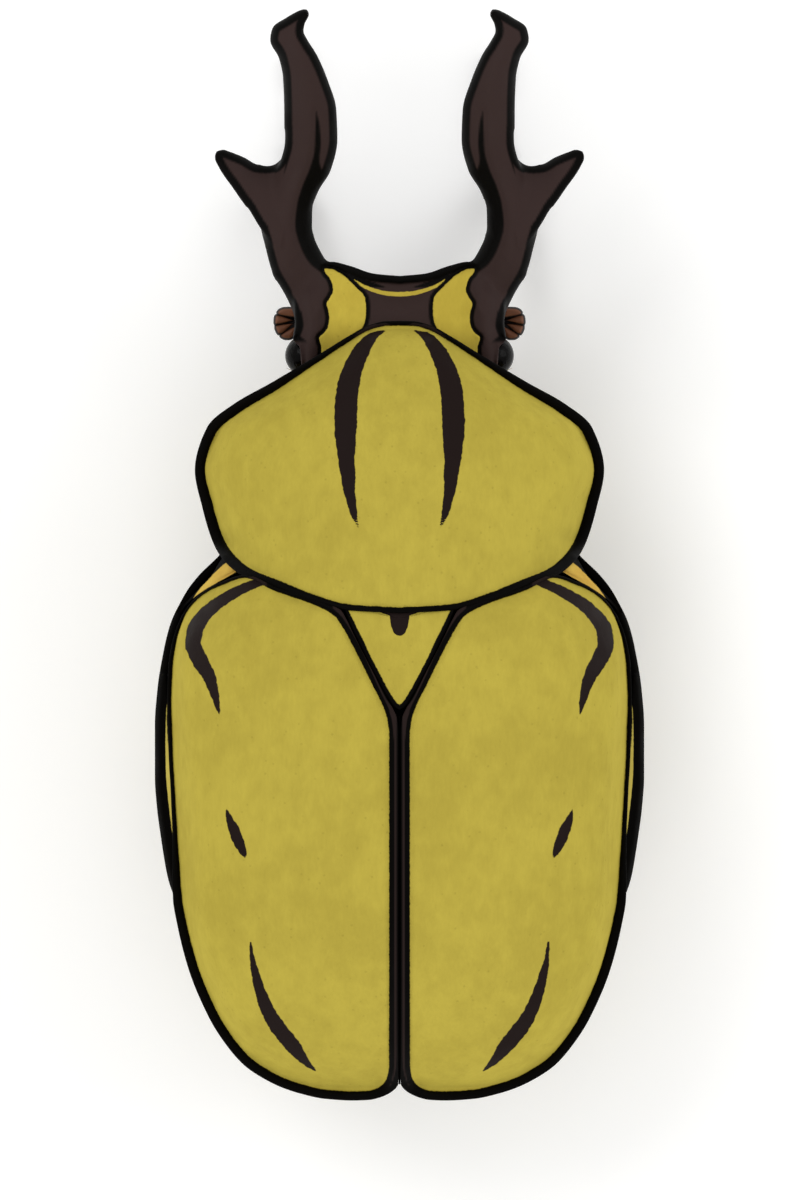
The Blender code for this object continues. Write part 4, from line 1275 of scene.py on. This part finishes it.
def hips_of(leg):
    return hip(leg["socket"], leg["socket_size"], leg["hip"], leg["knee"])


prosternum = together([ring, neck, neck_top, *hips_of(LEGS["fore"])])
piece("prosternum_ring", prosternum, chest_down, "dark_cuticle", "prosternum")


# Metathorax: the big middle of the underside that carries the middle and hind legs. Its flanks
# reach out past the wing cases as a dark ledge with a thin coated strip on top, and they are
# coated below, down to the bare glossy breast plate with its seam.
chest_half = smooth([
    (0.25, 5.1), (0.6, 5.7), (1.0, 6.1), (1.5, 6.49), (2.1, 6.75), (2.9, 6.94), (3.9, 7.1), (5.0, 7.18),
    (6.5, 7.18), (7.5, 7.11), (8.1, 7.03),
])
LEDGE_STRIP = [
    (6.83, 4.15, 0.003), (6.825, 4.7, 0.02), (6.82, 5.36, 0.04), (6.8, 6.0, 0.055),
    (6.785, 6.43, 0.062), (6.73, 7.1, 0.06), (6.69, 7.49, 0.055), (6.64, 8.2, 0.035), (6.61, 8.9, 0.01),
]


def ledge(x, y, half):
    """Roof of the body rings: flat under the wing cases, then a ledge that slopes outward."""
    out = half - abs(x)
    height = edge_height(y) - ROOF_GAP
    if y > 3.5:
        across = abs(x) + 0.08 * (y - 6)
        height += 0.26 * ramp(across, 6.5, 6.66) - 0.75 * max(across - 6.66, 0)
    return height - 0.16 * max(1 - out / 0.16, 0) ** 2 + 0.03 * bell(out - 0.16, 0.1)


def chest_floor(x, y):
    height = belly(x, y, 7.12) + flank_round(x, chest_half(y))
    height += groove(x, 0.07, 0.16) * (1 if y > 3.4 else 0.2)
    height += groove(y - 3.1 - 0.1 * abs(x), 0.1, 0.14)
    height += groove(y - 7.0 + 0.12 * abs(x), 0.09, 0.14) * (1 if abs(x) > 0.9 else 0.3)
    height += groove(abs(x) - 4.6 - 0.06 * (y - 4), 0.09, 0.16)
    height -= 0.25 * swelling(x, y, (0, 2.2), (0.6, 0.8))
    return height - 0.15 * swelling(x, y, (2.6, 5.2), (1.5, 1.4))


def coat_flanks(mesh, at, coat_depth):
    """Ends the coat of the flanks below the ledge, and lays the thin strip on top of the ledge."""
    limit = np.array([edge_height(y) - 0.82 for y in at[:, 1]])
    roofed = at[:, 2] >= limit
    strip = np.where(roofed, -1.5 * from_strokes(at, [LEDGE_STRIP]), -9)
    coat_depth = np.maximum(np.minimum(coat_depth, limit - at[:, 2]), strip)
    paint(mesh, mark=NO_MARK, rim=coat_depth, tone=np.where(roofed, 0.0, 0.9))


ring = trunk(0.25, 8.1, chest_half, lambda x, y: ledge(x, y, chest_half(y)), chest_floor, 230, 130)
at = spots(ring)
coat_depth = np.abs(at[:, 0]) - 4.68 - 0.06 * (at[:, 1] - 4)
for line in (at[:, 1] - 3.1 - 0.1 * np.abs(at[:, 0]), at[:, 1] - 7.0 + 0.12 * np.abs(at[:, 0])):
    coat_depth = np.minimum(coat_depth, np.abs(line) - 0.07)
coat_flanks(ring, at, coat_depth)
waist = uncoated(ball((0, 0.45, 5.0), (3.4, 0.8, 1.0), 40, 24), 0)
parts = [ring, waist, *hips_of(LEGS["mid"]), *hips_of(LEGS["hind"])]
piece("metathorax_ring", together(parts), chest_down, "dark_cuticle", "metathorax")


# Abdomen: rings that lap over one another from front to rear, seen on the underside as six belly
# plates with a shallow hollow along their middle and coated patches at their sides.
abdomen_half = smooth([
    (7.95, 7.05), (8.7, 6.94), (9.5, 6.79), (10.4, 6.45), (11.5, 5.95), (13, 5.2), (14.2, 4.3),
    (15, 3.3), (15.4, 2.2),
])
SEAMS = [9.35, 10.4, 11.45, 12.5, 13.5]


def seam_place(seam, x):
    """A belly plate's rear edge, which curves forward towards its sides."""
    return seam - 0.035 * x * x * (seam / 12) ** 2


def abdomen_floor(x, y):
    height = belly(x, y, abdomen_half(y)) + flank_round(x, abdomen_half(y))
    for seam in SEAMS:
        past = y - seam_place(seam, x)
        height += 0.1 / (1 + math.exp(-past / 0.05)) * math.exp(-max(past, 0) / 0.5)
    return height + 0.16 * bell(x, 1.1) * (1 if y > 8.8 else 0.4)


TAIL = 14.75  # where the last plate begins
TAIL_LEVEL = 5.45  # height of the middle of its domed end
TAIL_CUT = Vector((0, TAIL, 5.2))
TAIL_SLANT = Vector((0, 1, 0.35)).normalized()


def tail_cut(mesh, shift, away):
    """Parts the slanted last plate from the belly."""
    cut_away(mesh, TAIL_CUT + TAIL_SLANT * shift, away)
    bmesh.ops.holes_fill(mesh, edges=mesh.edges)
    bmesh.ops.recalc_face_normals(mesh, faces=mesh.faces)


ring = trunk(
    7.95, 15.4, abdomen_half, lambda x, y: ledge(x, y, abdomen_half(y)), abdomen_floor, 210, 130
)
for vertex in ring.verts:  # the last plate is domed at its end
    past = min(max(vertex.co.y - TAIL, 0) / 0.66, 1)
    shrink = 1 - 0.8 * (1 - math.sqrt(1 - past * past))
    vertex.co.x *= shrink
    vertex.co.z = TAIL_LEVEL + (vertex.co.z - TAIL_LEVEL) * shrink
tail = ring.copy()
tail_cut(ring, -0.03, TAIL_SLANT)
at = spots(ring)
coat_depth = np.abs(at[:, 0]) - 0.55 * np.array([abdomen_half(y) for y in at[:, 1]])
for seam in SEAMS:
    past = at[:, 1] - seam_place(seam, at[:, 0])
    coat_depth = np.minimum(coat_depth, np.abs(past) - 0.1)
coat_flanks(ring, at, coat_depth)
piece("abdomen_rings", ring, chest_down, "dark_cuticle", "abdomen")


# Pygidium: the last plate, which closes the tail below the ends of the wing cases. It is domed
# and coated, with a bare rim.
tail_cut(tail, 0.03, -TAIL_SLANT)
at = spots(tail)
from_cut = (at - np.array(TAIL_CUT)) @ np.array(TAIL_SLANT)
paint(tail, mark=NO_MARK, rim=np.minimum(from_cut - 0.1, 5.6 - at[:, 2]), tone=0)
piece("pygidium_plate", tail, yellow_down, "yellow_down", "pygidium")


# Legs: each has a thigh, a toothed shin and five foot joints that end in a pair of claws. They are
# hard, dark and polished, with rows of stiff yellow hairs along the thighs and shins.
leg_shell = shell("leg_shell", rgb(50, 36, 31), rgb(10, 8, 6), 0.28)
SOLE = 0.27  # height of a foot's middle line over the floor
FOOT_JOINTS = (0, 0.22, 0.4, 0.57, 0.73, 1.0)  # shares of a foot at which its joints meet
CLAW_STOPS = ((0.15, 0.7, 0.14), (0.42, 1, 0.05), (0.5, 1, -0.2))  # ahead, spread and lift


def hair_rows(line, half, count, way, seed):
    """Roots for a row of hairs along a limb, leaning to the limb's end."""
    roots = []
    for i in range(count):
        share = 0.1 + 0.8 * (i + 0.5 * math.sin(seed + 2.4 * i) / 1.5) / count
        ahead = (line(share + 0.01) - line(share - 0.01)).normalized()
        lean = way + ahead * 0.9 + Vector((0, 0, 0.15 * math.sin(seed + 5 * i)))
        root = line(share) + way * (half(share) * 0.85)
        roots.append((root, lean.normalized() * (0.42 + 0.14 * math.sin(seed + 3 * i))))
    return roots


for place, leg in LEGS.items():
    hip_at, knee, ankle = Vector(leg["hip"]), Vector(leg["knee"]), Vector(leg["ankle"])
    run = knee - hip_at
    way = run.normalized()
    thick = leg["thick"]
    thigh_line = chain([hip_at, hip_at + run * 0.5 + Vector((0, 0, -0.12)), knee - way * 0.05])
    girth = smooth([
        (0, 0.5), (0.06, 0.78), (0.2, 0.84), (0.5, 1), (0.85, 0.74), (0.96, 0.62), (1, 0.4),
    ])
    thigh = shaft(thigh_line, lambda s: thick * girth(s), lambda s: 0.88 * thick * girth(s), 40, 70)
    inward = way.cross(Vector((0, 0, 1))).normalized()
    for vertex in thigh.verts:  # a seam by the knee
        out = (vertex.co - knee).length
        vertex.co += (thigh_line(0.5) - vertex.co).normalized() * groove(out - 0.75, 0.06, 0.04)
    paint(thigh, tone=1)
    pair(f"thigh_{place}", thigh, leg_shell, "dark_cuticle", f"femur_{place}")
    hairs = hair_rows(thigh_line, lambda s: thick * girth(s), 34, inward, 1.0)
    hairs += hair_rows(thigh_line, lambda s: thick * girth(s), 26, -inward, 2.0)

    shin_run = ankle - knee
    shin_way = shin_run.normalized()
    shin_line = chain([knee - shin_way * 0.1, knee + shin_run * 0.5, ankle + shin_way * 0.05])
    wide = smooth([(0, 0.2), (0.05, 0.29), (0.2, 0.27), (0.7, 0.36), (0.92, 0.46), (1, 0.34)])
    deep = smooth([(0, 0.2), (0.05, 0.28), (0.2, 0.26), (0.7, 0.32), (0.92, 0.38), (1, 0.3)])
    outward = Vector((1, 0, 0))
    spikes = []
    for share, length in leg["teeth"]:
        spikes.append((share, outward * (0.3 + length) + shin_way * 0.32, 0.3))
    spikes.append((0.88, shin_way * 0.32 - outward * 0.75, 0.14))
    spikes.append((0.95, shin_way * 0.55 - outward * 0.45, 0.11))
    taper = smooth([(0, 1.0), (0.5, 0.62), (0.9, 0.3), (1, 0.12)])
    parts = [shaft(shin_line, wide, deep, 36, 80)]
    for share, tip, thickness in spikes:
        root = knee + shin_run * share
        bent = chain([root, root + tip * 0.5 + shin_way * 0.03, root + tip])
        parts.append(rod(bent, lambda s: thickness * taper(s), 14, 16))
    shin = weld(parts, 0.045, 3)
    aside = (spots(shin) - np.array(knee)) @ np.array(outward)
    for vertex, side in zip(shin.verts, aside):  # a fine rib above and below
        vertex.co.z += 0.03 * bell(side, 0.06) * math.copysign(1, vertex.normal.z)
    paint(shin, tone=1)
    pair(f"shin_{place}", shin, leg_shell, "dark_cuticle", f"tibia_{place}")
    hang = Vector((-0.3, 0, -0.95)) if place == "fore" else -outward
    hairs += hair_rows(shin_line, wide, 40, hang, 3.0)
    pair(f"leg_hairs_{place}", bristles(hairs), bristle_look, "dark_cuticle")

    points = [Vector((*spot, SOLE)) for spot in leg["foot"]]
    foot_line = chain([ankle - (points[0] - ankle).normalized() * 0.05, *points])
    parts = []
    for begin, end in zip(FOOT_JOINTS, FOOT_JOINTS[1:]):
        line = chain([foot_line(max(begin - 0.02, 0)), foot_line((begin + end) / 2), foot_line(end)])
        half = smooth([(0, 0.13), (0.3, 0.19), (0.75, 0.3), (0.93, 0.33), (1, 0.2)])
        parts.append(shaft(line, half, lambda s: 0.85 * half(s), 24, 24))
    tip, before = foot_line(1.0), foot_line(0.9)
    ahead = (tip - before).normalized()
    across = Vector((-ahead.y, ahead.x, 0))
    spread = leg.get("claws", 0.36)
    for side in (1, -1):
        root = tip - ahead * 0.12 + across * (side * 0.1)
        stops = [root]
        for far, wide_share, lift in CLAW_STOPS:
            out = across * (side * spread * wide_share)
            stops.append(tip + ahead * far + out + Vector((0, 0, lift)))
        claw_half = smooth([(0, 0.14), (0.4, 0.1), (0.9, 0.04), (1, 0.015)])
        parts.append(rod(chain(stops), claw_half, 16, 28))
    foot = together(parts)
    for vertex in foot.verts:
        vertex.co.z = max(vertex.co.z, 0.0)  # the soles lie flat on the floor
    paint(foot, tone=1)
    pair(f"foot_{place}", foot, leg_shell, "dark_cuticle", f"tarsus_{place}")
